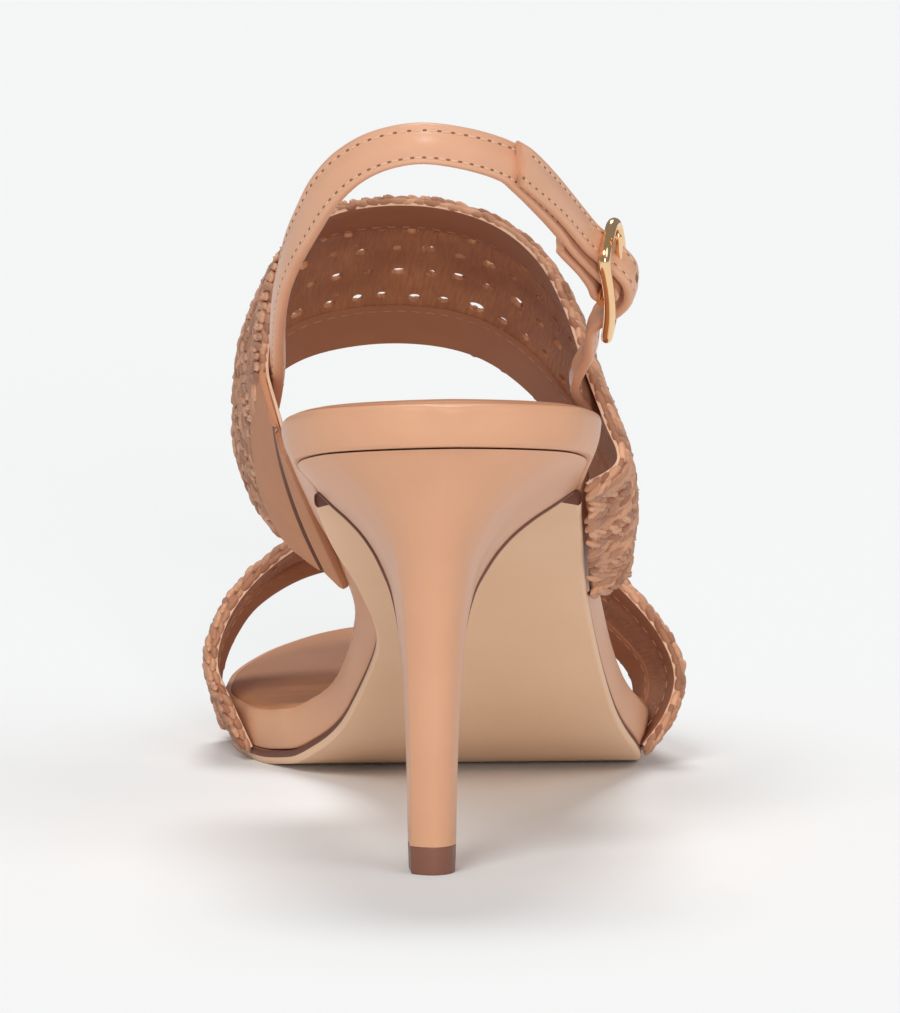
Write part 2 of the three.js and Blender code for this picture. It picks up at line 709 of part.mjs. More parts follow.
// Cut a band clear of the rim that it is lasted over, and of the outsole below
function seatedOnRim(geometry) {
  const grown = CLEARANCE * 0.9;
  const rim = toManifold(soleLayer(footbedLevels(grown), false));
  const outsole = toManifold(
    soleLayer(
      [
        { height: -grown, inset: RIM_BEVEL - grown, waist: 1 },
        { height: OUTSOLE_THICKNESS + grown, inset: RIM_BEVEL - grown, waist: 1 },
      ],
      false,
    ),
  );
  return fromManifold(toManifold(geometry).subtract(rim).subtract(outsole));
}

// Gaps between the strips, in rings of the crochet round the middle of a band
function bandGaps(columns, rows, period) {
  const gaps = [];
  const centre = Math.round(columns / 2);
  const reach = Math.floor(columns * 0.3);
  for (let row = 1; row + 1 < rows; row += 2) {
    const offset = row % 4 === 1 ? 0 : Math.floor(period / 2);
    for (let column = centre - reach + offset; column < centre + reach; column += period) {
      gaps.push([column, row]);
    }
  }
  return gaps;
}

const instepCurve = (rows, inner, outer) =>
  bandCurve(rows, INSTEP_CENTRE, INSTEP_SPAN, INSTEP_RISE, {
    inner,
    outer,
    innerHeight: FOOTBED_BASE + INSTEP_TUCK,
    outerHeight: FOOTBED_BASE,
  });
const instepRear = instepCurve(INSTEP_REAR, INSTEP_FOOT.rearInner, INSTEP_FOOT.rearOuter);
const instepFront = instepCurve(INSTEP_FRONT, INSTEP_FOOT.frontInner, INSTEP_FOOT.frontOuter);

// Point inside the instep band, at a depth under its inner face
function insideInstep({ round, across }, depth) {
  const at = (place) => instepRear.getPointAt(place).lerp(instepFront.getPointAt(place), across);
  const step = 0.01;
  const around = at(round + step).sub(at(round - step));
  const forward = instepFront.getPointAt(round).sub(instepRear.getPointAt(round));
  const outward = around.cross(forward).normalize();
  return at(round).addScaledVector(outward, INSTEP_CROWN * 4 * across * (1 - across) - depth);
}

function makeInstepBand() {
  const columns = 44;
  const fieldRows = 9;
  return seatedOnRim(
    makeBand({
      rear: instepRear,
      front: instepFront,
      crown: INSTEP_CROWN,
      columns,
      fieldRows,
      gaps: bandGaps(columns, fieldRows, 3),
    }),
  );
}

function makeToeBand() {
  const columns = 40;
  const fieldRows = 7;
  const curve = (rows, inner, outer) =>
    bandCurve(rows, TOE_BAND_CENTRE, TOE_BAND_SPAN, TOE_BAND_RISE, {
      inner,
      outer,
      innerHeight: FOOTBED_BASE,
      outerHeight: FOOTBED_BASE,
    });
  return seatedOnRim(
    makeBand({
      rear: curve(TOE_BAND_REAR, TOE_BAND_FOOT.rearInner, TOE_BAND_FOOT.rearOuter),
      front: curve(TOE_BAND_FRONT, TOE_BAND_FOOT.frontInner, TOE_BAND_FOOT.frontOuter),
      crown: TOE_BAND_CROWN,
      columns,
      fieldRows,
      gaps: bandGaps(columns, fieldRows, 4),
    }),
  );
}

// Straps and buckle

const SEAT_TOP = solePoint(0, -SEAT_OVERHANG, FOOTBED_TOP).z;

const loopPoint = (row) =>
  new THREE.Vector3(
    (row.across * LOOP_WIDTH) / 2,
    row.forward * LOOP_DEPTH - LOOP_BACK,
    SEAT_TOP + row.lift * LOOP_RISE,
  );

// The buckle's own directions: up along the strap, out from the ankle, and across the strap
const buckleCentre = loopPoint(BUCKLE_PLACE);
const buckleUp = new THREE.Vector3(
  -Math.sin(BUCKLE_LEAN),
  -Math.cos(BUCKLE_LEAN) * Math.cos(BUCKLE_RISE),
  Math.cos(BUCKLE_LEAN) * Math.sin(BUCKLE_RISE),
);
const buckleOut = new THREE.Vector3(1, 0, 0)
  .addScaledVector(buckleUp, -buckleUp.x)
  .normalize()
  .applyAxisAngle(buckleUp, -BUCKLE_TURN);
const buckleAcross = buckleUp.clone().cross(buckleOut);

const bucklePoint = (up, across, out) =>
  buckleCentre
    .clone()
    .addScaledVector(buckleUp, up)
    .addScaledVector(buckleAcross, across)
    .addScaledVector(buckleOut, out);

const coursePoint = (row) =>
  bucklePoint(row.up * BUCKLE_LENGTH, row.across * BUCKLE_LENGTH, row.out * BUCKLE_LENGTH);

// Away from the ankle, and straight outwards in front of it
function ankleOutward(point) {
  return new THREE.Vector3(point.x, Math.min(0, point.y - ANKLE_AXIS), 0).normalize();
}

// Flat strap along a curve, with chamfered edges and an end that may be cut on the slant
function makeStrap(curve, { steps, width, thickness, course, slant }) {
  const length = curve.getLength();
  const half = width / 2;
  const rings = [];
  for (let i = 0; i <= steps; i += 1) {
    const share = i / steps;
    const deep = thickness(share) / 2;
    const chamfer = thickness(share) * STRAP_CHAMFER;
    const section = [
      [-half, -deep + chamfer],
      [-half + chamfer, -deep],
      [half - chamfer, -deep],
      [half, -deep + chamfer],
      [half, deep - chamfer],
      [half - chamfer, deep],
      [-half + chamfer, deep],
      [-half, deep - chamfer],
    ];
    const slide = slant * smoothstep(share, 1 - (3 * slant) / length, 1);
    rings.push(
      section.map(([across, out]) => {
        const place = Math.max(0, share - (slide * (half - across)) / width / length);
        const centre = curve.getPointAt(place);
        const along = curve.getTangentAt(place);
        const face = strapFace(centre, along, course);
        const side = along.clone().cross(face).normalize();
        return centre.addScaledVector(side, across).addScaledVector(face, out);
      }),
    );
  }
  return loft(rings);
}

const squareTo = (direction, along) =>
  direction.clone().addScaledVector(along, -direction.dot(along)).normalize();

const FOLD_RADIUS = BAR_DIAMETER / 2 + CLEARANCE * 1.2 + FOLD_THICKNESS / 2;

function foldPoints() {
  return [90, 130, 180, 230].map((degrees) => {
    const angle = THREE.MathUtils.degToRad(degrees);
    return bucklePoint(FOLD_RADIUS * Math.cos(angle), 0, FOLD_RADIUS * Math.sin(angle));
  });
}

function prongCurve() {
  const points = [-50, -90, -135, -180, -225].map((degrees) => {
    const angle = THREE.MathUtils.degToRad(degrees);
    const radius = BAR_DIAMETER / 2 + CLEARANCE * 0.85 + PRONG_DIAMETER / 2;
    return bucklePoint(radius * Math.cos(angle), 0, radius * Math.sin(angle));
  });
  return new THREE.CatmullRomCurve3([...points, ...PRONG_COURSE.map(coursePoint)], false, 'centripetal');
}

function makeProng(grown = 0) {
  const sides = 8;
  const radius = PRONG_DIAMETER / 2 + grown;
  const outline = [];
  for (let i = 0; i < sides; i += 1) {
    const angle = (i / sides) * 2 * Math.PI;
    outline.push(new THREE.Vector2(radius * Math.cos(angle), radius * Math.sin(angle)));
  }
  return new THREE.ExtrudeGeometry(new THREE.Shape(outline), { steps: 16, extrudePath: prongCurve() });
}

// Outer face of a strap: away from the ankle, and square to the bar near the buckle
// The course is 1 for a strap that runs up through the buckle, and -1 for one that runs down to it
function strapFace(centre, along, course) {
  const near = 1 - smoothstep(centre.distanceTo(buckleCentre), BUCKLE_LENGTH * 0.65, BUCKLE_LENGTH * 1.5);
  const square = buckleAcross.clone().cross(along).multiplyScalar(course).normalize();
  return squareTo(ankleOutward(centre), along).lerp(square, near).normalize();
}

function makeAnkleStrap() {
  const root = STRAP_ROOT.map((place) => insideInstep(place, STRAP_THICKNESS / 2 + 3 * CLEARANCE));
  const loop = [...root, ...ANKLE_LOOP.map(loopPoint)];
  const fold = [...STRAP_COURSE.map(coursePoint), ...foldPoints(), ...STRAP_RETURN.map(coursePoint)];
  const points = [...loop, ...fold];
  const curve = new THREE.CatmullRomCurve3(points, false, 'centripetal');
  const length = curve.getLength();
  const loopShare = new THREE.CatmullRomCurve3(loop, false, 'centripetal').getLength() / length;
  const skiveStart = loopShare + (BUCKLE_LENGTH * SKIVE_PLACE) / length;
  const skiveEnd = skiveStart + (BUCKLE_LENGTH * SKIVE_LENGTH) / length;
  const thickness = (share) =>
    lerp(STRAP_THICKNESS, FOLD_THICKNESS, smoothstep(share, skiveStart, skiveEnd));
  const strap = makeStrap(curve, { steps: 58, width: STRAP_WIDTH, thickness, course: -1, slant: 0 });
  return fromManifold(toManifold(strap).subtract(toManifold(makeProng(CLEARANCE))));
}

function makeBilletStrap() {
  const root = BILLET_ROOT.map((place) => insideInstep(place, BILLET_THICKNESS / 2 + 3 * CLEARANCE));
  const points = [...root, ...BILLET_COURSE.map(coursePoint)];
  const curve = new THREE.CatmullRomCurve3(points, false, 'centripetal');
  const strap = makeStrap(curve, {
    steps: 40,
    width: BILLET_WIDTH,
    thickness: () => BILLET_THICKNESS,
    course: 1,
    slant: BILLET_SLANT,
  });
  return fromManifold(toManifold(strap).subtract(toManifold(makeProng(CLEARANCE))));
}

// Bowed frame with rounded corners and its centre bar
function makeBuckleFrame() {
  const radius = RAIL_DIAMETER / 2;
  const halfLength = BUCKLE_LENGTH / 2 - radius;
  const halfWidth = BUCKLE_WIDTH / 2 - radius;
  const corner = halfWidth * 0.55;
  const sides = 8;
  const path = [];
  const cornerSteps = 3;
  for (const [up, across, start] of [[1, 1, 0], [-1, 1, 1], [-1, -1, 2], [1, -1, 3]]) {
    for (let i = 0; i <= cornerSteps; i += 1) {
      const angle = ((start + i / cornerSteps) * Math.PI) / 2;
      path.push({
        up: up * (halfLength - corner) + corner * Math.cos(angle),
        across: across * (halfWidth - corner) + corner * Math.sin(angle),
      });
    }
    if (up !== across) continue;
    for (const share of [0.5, 0, -0.5]) {
      path.push({ up: up * share * halfLength, across: across * halfWidth });
    }
  }
  const centres = path.map(({ up, across }) =>
    bucklePoint(up, across, BAR_SETBACK - BUCKLE_BOW * (up / halfLength) ** 2),
  );
  const rings = centres.map((centre, i) => {
    const ahead = centres[(i + 1) % centres.length];
    const behind = centres[(i + centres.length - 1) % centres.length];
    const along = ahead.clone().sub(behind).normalize();
    const out = squareTo(buckleOut, along);
    const side = along.clone().cross(out);
    const ring = [];
    for (let j = 0; j < sides; j += 1) {
      const angle = (j / sides) * 2 * Math.PI;
      const place = centre.clone().addScaledVector(out, radius * Math.sin(angle));
      ring.push(place.addScaledVector(side, radius * Math.cos(angle)));
    }
    return ring;
  });
  const bar = new THREE.CylinderGeometry(BAR_DIAMETER / 2, BAR_DIAMETER / 2, 2 * halfWidth, 10);
  bar.applyQuaternion(new THREE.Quaternion().setFromUnitVectors(new THREE.Vector3(0, 1, 0), buckleAcross));
  bar.translate(buckleCentre.x, buckleCentre.y, buckleCentre.z);
  return fromManifold(toManifold(loft(rings, { closed: true })).add(toManifold(bar)));
}

// Assembly

const sandal = new THREE.Group();

function addPiece(name, geometry, material) {
  const mesh = new THREE.Mesh(geometry, material.clone());
  mesh.name = name;
  sandal.add(mesh);
}

addPiece('outsole', makeOutsole(), sole);
addPiece('footbed', makeFootbed(), nude);
addPiece('insole', makeInsole(), lining);
addPiece('heel', makeHeel(), nude);
addPiece('top_lift', makeTopLift(), lift);
addPiece('toe_band', makeToeBand(), raffia);
addPiece('instep_band', makeInstepBand(), raffia);
addPiece('ankle_strap', makeAnkleStrap(), nude);
addPiece('billet_strap', makeBilletStrap(), nude);
addPiece('buckle_frame', makeBuckleFrame(), gold);
addPiece('buckle_prong', makeProng(), gold);

export default sandal;
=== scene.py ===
"""Dresses the high heeled sandal for the right foot: leather, woven raffia, stitches and a buckle."""

import logging
import math
from collections.abc import Callable
from dataclasses import dataclass, field
from enum import Enum

import bmesh
import bpy
import numpy as np
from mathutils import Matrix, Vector


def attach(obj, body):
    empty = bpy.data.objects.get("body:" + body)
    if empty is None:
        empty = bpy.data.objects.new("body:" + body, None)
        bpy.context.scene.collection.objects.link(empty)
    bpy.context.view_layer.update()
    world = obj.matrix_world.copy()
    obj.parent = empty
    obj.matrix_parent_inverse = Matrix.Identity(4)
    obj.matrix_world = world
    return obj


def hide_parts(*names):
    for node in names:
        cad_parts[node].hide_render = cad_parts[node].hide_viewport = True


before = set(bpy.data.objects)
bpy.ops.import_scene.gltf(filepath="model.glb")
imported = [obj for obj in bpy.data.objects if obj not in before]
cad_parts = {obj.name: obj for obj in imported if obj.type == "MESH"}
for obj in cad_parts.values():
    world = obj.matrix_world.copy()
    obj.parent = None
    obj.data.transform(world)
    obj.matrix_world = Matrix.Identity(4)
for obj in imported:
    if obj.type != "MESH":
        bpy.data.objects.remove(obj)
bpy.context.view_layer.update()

log = logging.getLogger("sandal")

MM = 0.001
SEED = 17
GAP_SEED = 4
# Length, width and height over which a strand's fibres run, in millimetres
STRAND_SIZE = np.array((3.2, 1.4, 1.2))

# Sole line: share of the sole's length, share of the seat's height, share of the toe spring
SOLE_LINE = np.array([
    (0, 1, 0), (0.106, 0.937, 0), (0.203, 0.835, 0), (0.304, 0.7, 0), (0.405, 0.523, 0),
    (0.48, 0.349, 0), (0.546, 0.18, 0), (0.599, 0.072, 0), (0.643, 0.018, 0), (0.696, 0, 0),
    (0.775, 0, 0), (0.833, 0, 0.12), (0.899, 0, 0.43), (1, 0, 1),
])
# Rim outline: share of the sole's length, then inner and outer half widths as shares of the ball width
RIM_OUTLINE = np.array([
    (0, 0, 0), (0.026, 0.225, 0.225), (0.062, 0.314, 0.314), (0.123, 0.362, 0.364),
    (0.203, 0.338, 0.36), (0.304, 0.285, 0.385), (0.405, 0.19, 0.42), (0.48, 0.13, 0.465),
    (0.546, 0.155, 0.52), (0.634, 0.27, 0.605), (0.722, 0.375, 0.625), (0.789, 0.402, 0.585),
    (0.855, 0.382, 0.5), (0.921, 0.3, 0.375), (0.967, 0.19, 0.24), (1, 0, 0),
])
# Heel: height share, then the way from the tip's outline to the seat's at the side, back and front
HEEL_FLARE = np.array([
    (0, 0, 0, 0), (0.22, 0.014, 0.03, 0.04), (0.45, 0.048, 0.12, 0.1), (0.6, 0.095, 0.25, 0.17),
    (0.72, 0.165, 0.41, 0.27), (0.81, 0.3, 0.57, 0.4), (0.875, 0.46, 0.7, 0.55),
    (0.925, 0.65, 0.81, 0.72), (0.96, 0.82, 0.9, 0.86), (1, 1, 1, 1),
])
# Bands: share of half the span from the band's centre, share of the sole's length, share of the rise
INSTEP_REAR = np.array([
    (-0.93, 0.229, 0.13), (-0.977, 0.251, 0.274), (-0.965, 0.269, 0.382), (-0.913, 0.295, 0.563),
    (-0.832, 0.322, 0.737), (-0.63, 0.352, 0.918), (-0.33, 0.374, 1.004), (0.048, 0.379, 1.009),
    (0.37, 0.366, 0.925), (0.597, 0.344, 0.777), (0.742, 0.311, 0.56), (0.839, 0.273, 0.307),
    (0.935, 0.238, 0.086), (0.994, 0.22, -0.056),
])
INSTEP_FRONT = np.array([
    (-0.53, 0.449, 0), (-0.758, 0.48, 0.18), (-0.935, 0.507, 0.41), (-1, 0.524, 0.63),
    (-0.935, 0.535, 0.81), (-0.694, 0.544, 0.953), (-0.306, 0.548, 1.02), (0.113, 0.546, 1.01),
    (0.403, 0.537, 0.93), (0.66, 0.518, 0.754), (0.871, 0.493, 0.516), (1.048, 0.467, 0.247),
    (1.135, 0.445, 0.03), (1.12, 0.427, -0.11),
])
TOE_REAR = np.array([
    (-0.93, 0.705, 0.03), (-0.988, 0.714, 0.208), (-0.94, 0.718, 0.424), (-0.81, 0.722, 0.627),
    (-0.54, 0.727, 0.843), (-0.21, 0.727, 0.992), (0.118, 0.725, 1.03), (0.47, 0.714, 0.897),
    (0.784, 0.687, 0.585), (0.953, 0.67, 0.336), (1.005, 0.659, 0.141), (0.953, 0.645, -0.05),
])
TOE_FRONT = np.array([
    (-0.942, 0.822, 0.014), (-0.922, 0.828, 0.11), (-0.87, 0.839, 0.225), (-0.776, 0.85, 0.35),
    (-0.565, 0.866, 0.47), (-0.306, 0.877, 0.515), (-0.024, 0.877, 0.527), (0.259, 0.868, 0.484),
    (0.518, 0.844, 0.372), (0.706, 0.813, 0.237), (0.842, 0.791, 0.11), (0.878, 0.775, 0.014),
])
# Roots of the straps inside the instep band: share round it, share across it
STRAP_ROOT = ((0.128, 0.2), (0.136, 0.04))
BILLET_ROOT = ((0.845, 0.24), (0.835, 0.12), (0.825, -0.01))
# Ankle loop: shares of its half width, its depth and its rise
ANKLE_LOOP = np.array([
    (-0.985, 0.835, 0.19), (-0.977, 0.67, 0.345), (-0.919, 0.495, 0.523), (-0.83, 0.35, 0.664),
    (-0.73, 0.227, 0.79), (-0.585, 0.13, 0.893), (-0.392, 0.052, 0.964), (-0.135, 0.004, 0.998),
    (0.173, 0.025, 0.975), (0.48, 0.124, 0.909),
])
BUCKLE_PLACE = (1.224, 0.649, 0.3835)
# Courses through the buckle, in buckle lengths: up along the strap, out from the bar and across it
STRAP_COURSE = (
    (1.3028, -0.5457, -0.2258), (0.9642, -0.4095, -0.1376), (0.6205, -0.2781, -0.0564),
    (0.4208, -0.1958, -0.0208), (0.2417, -0.0917, 0),
)
STRAP_RETURN = (
    (0.05, -0.0958, 0), (0.1917, -0.1667, 0), (0.375, -0.2792, -0.0167), (0.4667, -0.3208, -0.0333),
)
BILLET_COURSE = (
    (-0.7583, -0.1333, 0), (-0.6, -0.1188, 0), (-0.4562, -0.0958, 0), (-0.3417, -0.0146, 0),
    (-0.225, 0.0917, 0), (-0.1125, 0.1604, 0), (0, 0.1812, 0), (0.1125, 0.1625, 0),
    (0.225, 0.0917, 0), (0.3417, -0.0167, 0), (0.4562, -0.0979, -0.0167), (0.6474, -0.1812, -0.0544),
    (0.8575, -0.2612, -0.1036), (1.0752, -0.3486, -0.1621), (1.2943, -0.4405, -0.2306),
    (1.5092, -0.5427, -0.2996), (1.5996, -0.6063, -0.3351),
)
PRONG_COURSE = (
    (0.0125, 0.0813, 0), (0.1042, 0.0938, 0), (0.225, 0.0967, 0), (0.3583, 0.0975, 0),
    (0.4562, 0.0983, 0), (0.525, 0.0938, 0),
)
# Insole's creases: middle across, middle along, turn in radians, width, length and depth, in millimetres
CREASES = (
    (-16.0, 150.0, 0.35, 2.2, 14.0, 0.5), (-10.0, 158.0, 0.25, 2.6, 16.0, 0.45),
    (-20.0, 141.0, 0.5, 1.8, 9.0, 0.35),
)
# Plait along a band's edge: distance in, depth, turn in radians and shift of each of its lines of loops
PLAIT_LINES = (
    (0.2, 0.9, 0.25, 0.0), (1.2, 1.7, 0.7, 0.35), (2.3, 1.9, 0.85, 0.6), (3.7, 1.65, -0.8, 0.1),
    (5.1, 1.45, -0.7, 0.5),
)
# Row of a band: distance off its middle in cells, depth and shift of each of its lines of loops
ROW_LINES = ((-0.34, 1.25, 0.0), (0.0, 1.5, 0.33), (0.34, 1.25, 0.66))


class Side(Enum):
    """Sides of a right foot."""

    INNER = -1
    OUTER = 1


class Run(Enum):
    """Which way a strap runs past the buckle."""

    UP = 1
    DOWN = -1


# Numbers


def smoothstep(x: np.ndarray | float, low: float, high: float) -> np.ndarray:
    """Smooth step from 0 at low to 1 at high."""
    t = np.clip((np.asarray(x, float) - low) / (high - low), 0, 1)
    return t * t * (3 - 2 * t)


def monotone(rows: np.ndarray, column: int, at: np.ndarray | float) -> np.ndarray:
    """Smooth interpolation of a table's column, which never overshoots its rows.

    Args:
        rows: Table with its key in the first column.
        column: Column to read.
        at: Key values.

    Returns:
        The column's values there.
    """
    keys, values = rows[:, 0], rows[:, column]
    at = np.asarray(at, float)
    secants = np.diff(values) / np.diff(keys)
    before, after = secants[:-1], secants[1:]
    total = np.where(before + after == 0, 1, before + after)
    inner = np.where(before * after > 0, 2 * before * after / total, 0)
    tangents = np.concatenate([secants[:1], inner, secants[-1:]])
    index = np.clip(np.searchsorted(keys, at) - 1, 0, len(keys) - 2)
    span = keys[index + 1] - keys[index]
    t = np.clip((at - keys[index]) / span, 0, 1)
    start = (2 * t**3 - 3 * t**2 + 1) * values[index] + (t**3 - 2 * t**2 + t) * span * tangents[index]
    end = (3 * t**2 - 2 * t**3) * values[index + 1] + (t**3 - t**2) * span * tangents[index + 1]
    return start + end


def unit(vectors: np.ndarray) -> np.ndarray:
    """Vectors of length one."""
    size = np.linalg.norm(vectors, axis=-1, keepdims=True)
    return vectors / np.maximum(size, 1e-12)


def square_to(direction: np.ndarray, along: np.ndarray) -> np.ndarray:
    """Part of a direction that is square to another, with length one."""
    return unit(direction - np.sum(direction * along, axis=-1, keepdims=True) * along)


class SmoothCurve:
    """Centripetal curve through points, read by its share of length.

    Attributes:
        FINENESS: Samples in each span.
        REACH: How far before and after a place its direction is read, in millimetres.
    """

    FINENESS = 48
    REACH = 0.6

    def __init__(self, points: np.ndarray) -> None:
        """Samples the curve.

        Args:
            points: Points it passes through, in millimetres.
        """
        points = np.asarray(points, float)
        first = 2 * points[0] - points[1]
        last = 2 * points[-1] - points[-2]
        every = np.vstack([first, points, last])
        parts = []
        for i in range(len(points) - 1):
            p0, p1, p2, p3 = every[i : i + 4]
            pairs = ((p0, p1), (p1, p2), (p2, p3))
            d0, d1, d2 = (math.sqrt(max(np.linalg.norm(b - a), 1e-6)) for a, b in pairs)
            t1 = ((p1 - p0) / d0 - (p2 - p0) / (d0 + d1) + (p2 - p1) / d1) * d1
            t2 = ((p2 - p1) / d1 - (p3 - p1) / (d1 + d2) + (p3 - p2) / d2) * d1
            t = np.linspace(0, 1, self.FINENESS, endpoint=False)[:, None]
            cubic = (2 * p1 - 2 * p2 + t1 + t2) * t**3 + (3 * p2 - 3 * p1 - 2 * t1 - t2) * t**2
            parts.append(cubic + t1 * t + p1)
        parts.append(points[-1:])
        self.line = np.vstack(parts)
        steps = np.linalg.norm(np.diff(self.line, axis=0), axis=1)
        self.lengths = np.concatenate([[0], np.cumsum(steps)])
        self.length = float(self.lengths[-1])

    def at(self, share: np.ndarray | float) -> np.ndarray:
        """Points at shares of the length."""
        want = np.clip(np.asarray(share, float), 0, 1) * self.length
        return np.stack([np.interp(want, self.lengths, self.line[:, i]) for i in range(3)], axis=-1)

    def tangent(self, share: np.ndarray | float) -> np.ndarray:
        """Directions at shares of the length, between points a short reach before and after."""
        step = self.REACH / self.length
        share = np.asarray(share, float)
        return unit(self.at(share + step) - self.at(share - step))


# Meshes


def loft_faces(rings: int, count: int, closed: bool = False) -> list[tuple[int, ...]]:
    """Quads between rings of points, without end caps.

    Args:
        rings: Number of rings.
        count: Points in a ring.
        closed: Whether the last ring joins the first.

    Returns:
        Faces by point index.
    """
    faces = []
    for i in range(rings if closed else rings - 1):
        a, b = i * count, ((i + 1) % rings) * count
        for j in range(count):
            k = (j + 1) % count
            faces.append((a + j, a + k, b + k, b + j))
    return faces


def fan_caps(points: np.ndarray, faces: list[tuple[int, ...]], count: int) -> np.ndarray:
    """Closes both ends of a loft by a fan about each end ring's middle.

    Args:
        points: All points, ring by ring.
        faces: Faces, to which the caps are added.
        count: Points in a ring.

    Returns:
        The points with the two middles added.
    """
    size = len(points)
    middles = np.stack([points[:count].mean(0), points[-count:].mean(0)])
    for j in range(count):
        k = (j + 1) % count
        faces.append((size, k, j))
        faces.append((size + 1, size - count + j, size - count + k))
    return np.vstack([points, middles])


def tube_rings(
    path: np.ndarray, side: np.ndarray, out: np.ndarray, radius: np.ndarray | float, count: int
) -> np.ndarray:
    """Round rings about a path.

    Args:
        path: Middle of each ring.
        side: First direction across the path at each ring.
        out: Second direction, square to the first.
        radius: Radius, one for all or one for each ring.
        count: Points in a ring.

    Returns:
        Points, ring by ring.
    """
    angle = np.arange(count) * 2 * math.pi / count
    turned = np.cos(angle)[None, :, None] * side[:, None] + np.sin(angle)[None, :, None] * out[:, None]
    return (path[:, None] + np.reshape(radius, (-1, 1, 1)) * turned).reshape(-1, 3)


def new_object(name: str, data: bpy.types.ID) -> bpy.types.Object:
    """New object in the scene."""
    made = bpy.data.objects.new(name, data)
    bpy.context.scene.collection.objects.link(made)
    return made


def turn_outward(work: bmesh.types.BMesh) -> None:
    """Turns the faces of a closed mesh outwards."""
    if work.calc_volume(signed=True) < 0:
        bmesh.ops.reverse_faces(work, faces=work.faces)


def mesh_piece(
    name: str,
    points: np.ndarray,
    faces: list[tuple[int, ...]],
    finishes: list[bpy.types.Material],
    face_finish: list[int] | None = None,
    uv: np.ndarray | None = None,
    sharp: float = 38.0,
) -> bpy.types.Object:
    """Makes one mesh object from points in millimetres.

    Args:
        name: Object name.
        points: Points in millimetres.
        faces: Faces by point index.
        finishes: Materials.
        face_finish: Material index of each face.
        uv: Pattern coordinates of each point, in metres.
        sharp: Angle in degrees past which an edge is left sharp.

    Returns:
        The object, with its faces outwards.
    """
    mesh = bpy.data.meshes.new(name)
    mesh.from_pydata((points * MM).tolist(), [], faces)
    mesh.validate()
    for finish in finishes:
        mesh.materials.append(finish)
    if face_finish is not None and len(face_finish) == len(mesh.polygons):
        mesh.polygons.foreach_set("material_index", face_finish)
    if uv is not None:
        layer = mesh.uv_layers.new(name="surface")
        corner = np.zeros(len(mesh.loops), np.int32)
        mesh.loops.foreach_get("vertex_index", corner)
        layer.data.foreach_set("uv", uv[corner].astype(np.float32).ravel())
    work = bmesh.new()
    work.from_mesh(mesh)
    turn_outward(work)
    limit = math.radians(sharp)
    for face in work.faces:
        face.smooth = True
    for edge in work.edges:
        if len(edge.link_faces) == 2 and edge.calc_face_angle(0) > limit:
            edge.smooth = False
    work.to_mesh(mesh)
    work.free()
    return new_object(name, mesh)


def place_piece(piece: bpy.types.Object, slot: str, *nodes: str) -> None:
    """Hands a finished piece to the frame.

    Args:
        piece: The finished object.
        slot: Material slot of the record; not used.
        nodes: Nodes that it stands for.
    """
    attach(piece, "root")
    if nodes:
        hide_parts(*nodes)
    log.info("%s: %d faces", piece.name, len(piece.data.polygons))


# Node trees


def linear(code: str) -> tuple[float, float, float, float]:
    """sRGB hex colour as linear red, green, blue and alpha."""
    values = [int(code[i : i + 2], 16) / 255 for i in (1, 3, 5)]
    return (*(v / 12.92 if v <= 0.04045 else ((v + 0.055) / 1.055) ** 2.4 for v in values), 1.0)


def add_node(
    tree: bpy.types.NodeTree, kind: str, sockets: dict | None = None, **settings: object
) -> bpy.types.Node:
    """Adds a node.

    Args:
        tree: Tree to add it to.
        kind: Blender's name of the node type.
        sockets: Input values or links, by socket name or number.
        settings: Properties of the node.

    Returns:
        The node.
    """
    made = tree.nodes.new(kind)
    for key, value in settings.items():
        setattr(made, key, value)
    for key, value in (sockets or {}).items():
        socket = made.inputs[key] if isinstance(key, int) else next(
            s for s in made.inputs if s.name == key and s.enabled
        )
        if isinstance(value, bpy.types.NodeSocket):
            tree.links.new(value, socket)
        else:
            socket.default_value = value
    return made


def shader_tree(name: str) -> tuple[bpy.types.Material, bpy.types.NodeTree]:
    """New material with an empty tree."""
    material = bpy.data.materials.new(name)
    material.use_nodes = True
    material.node_tree.nodes.clear()
    return material, material.node_tree


def finish_tree(tree: bpy.types.NodeTree, sockets: dict) -> None:
    """Closes a material's tree with its shader and output."""
    shader = add_node(tree, "ShaderNodeBsdfPrincipled", sockets)
    add_node(tree, "ShaderNodeOutputMaterial", {"Surface": shader.outputs[0]})


def between_tones(
    tree: bpy.types.NodeTree, share: bpy.types.NodeSocket, dark: str, light: str
) -> bpy.types.NodeSocket:
    """Colour between two tones."""
    sockets = {"Factor": share, "A": linear(dark), "B": linear(light)}
    return add_node(tree, "ShaderNodeMix", sockets, data_type="RGBA").outputs[2]


def between_values(
    tree: bpy.types.NodeTree, share: bpy.types.NodeSocket, low: float, high: float
) -> bpy.types.NodeSocket:
    """Value between two others."""
    return add_node(tree, "ShaderNodeMapRange", {"Value": share, "To Min": low, "To Max": high}).outputs[0]


def raised(
    tree: bpy.types.NodeTree, height: bpy.types.NodeSocket, strength: float, depth: float
) -> bpy.types.NodeSocket:
    """Normal of a surface raised by a height, its depth in millimetres."""
    sockets = {"Height": height, "Strength": strength, "Distance": depth * MM}
    return add_node(tree, "ShaderNodeBump", sockets).outputs[0]


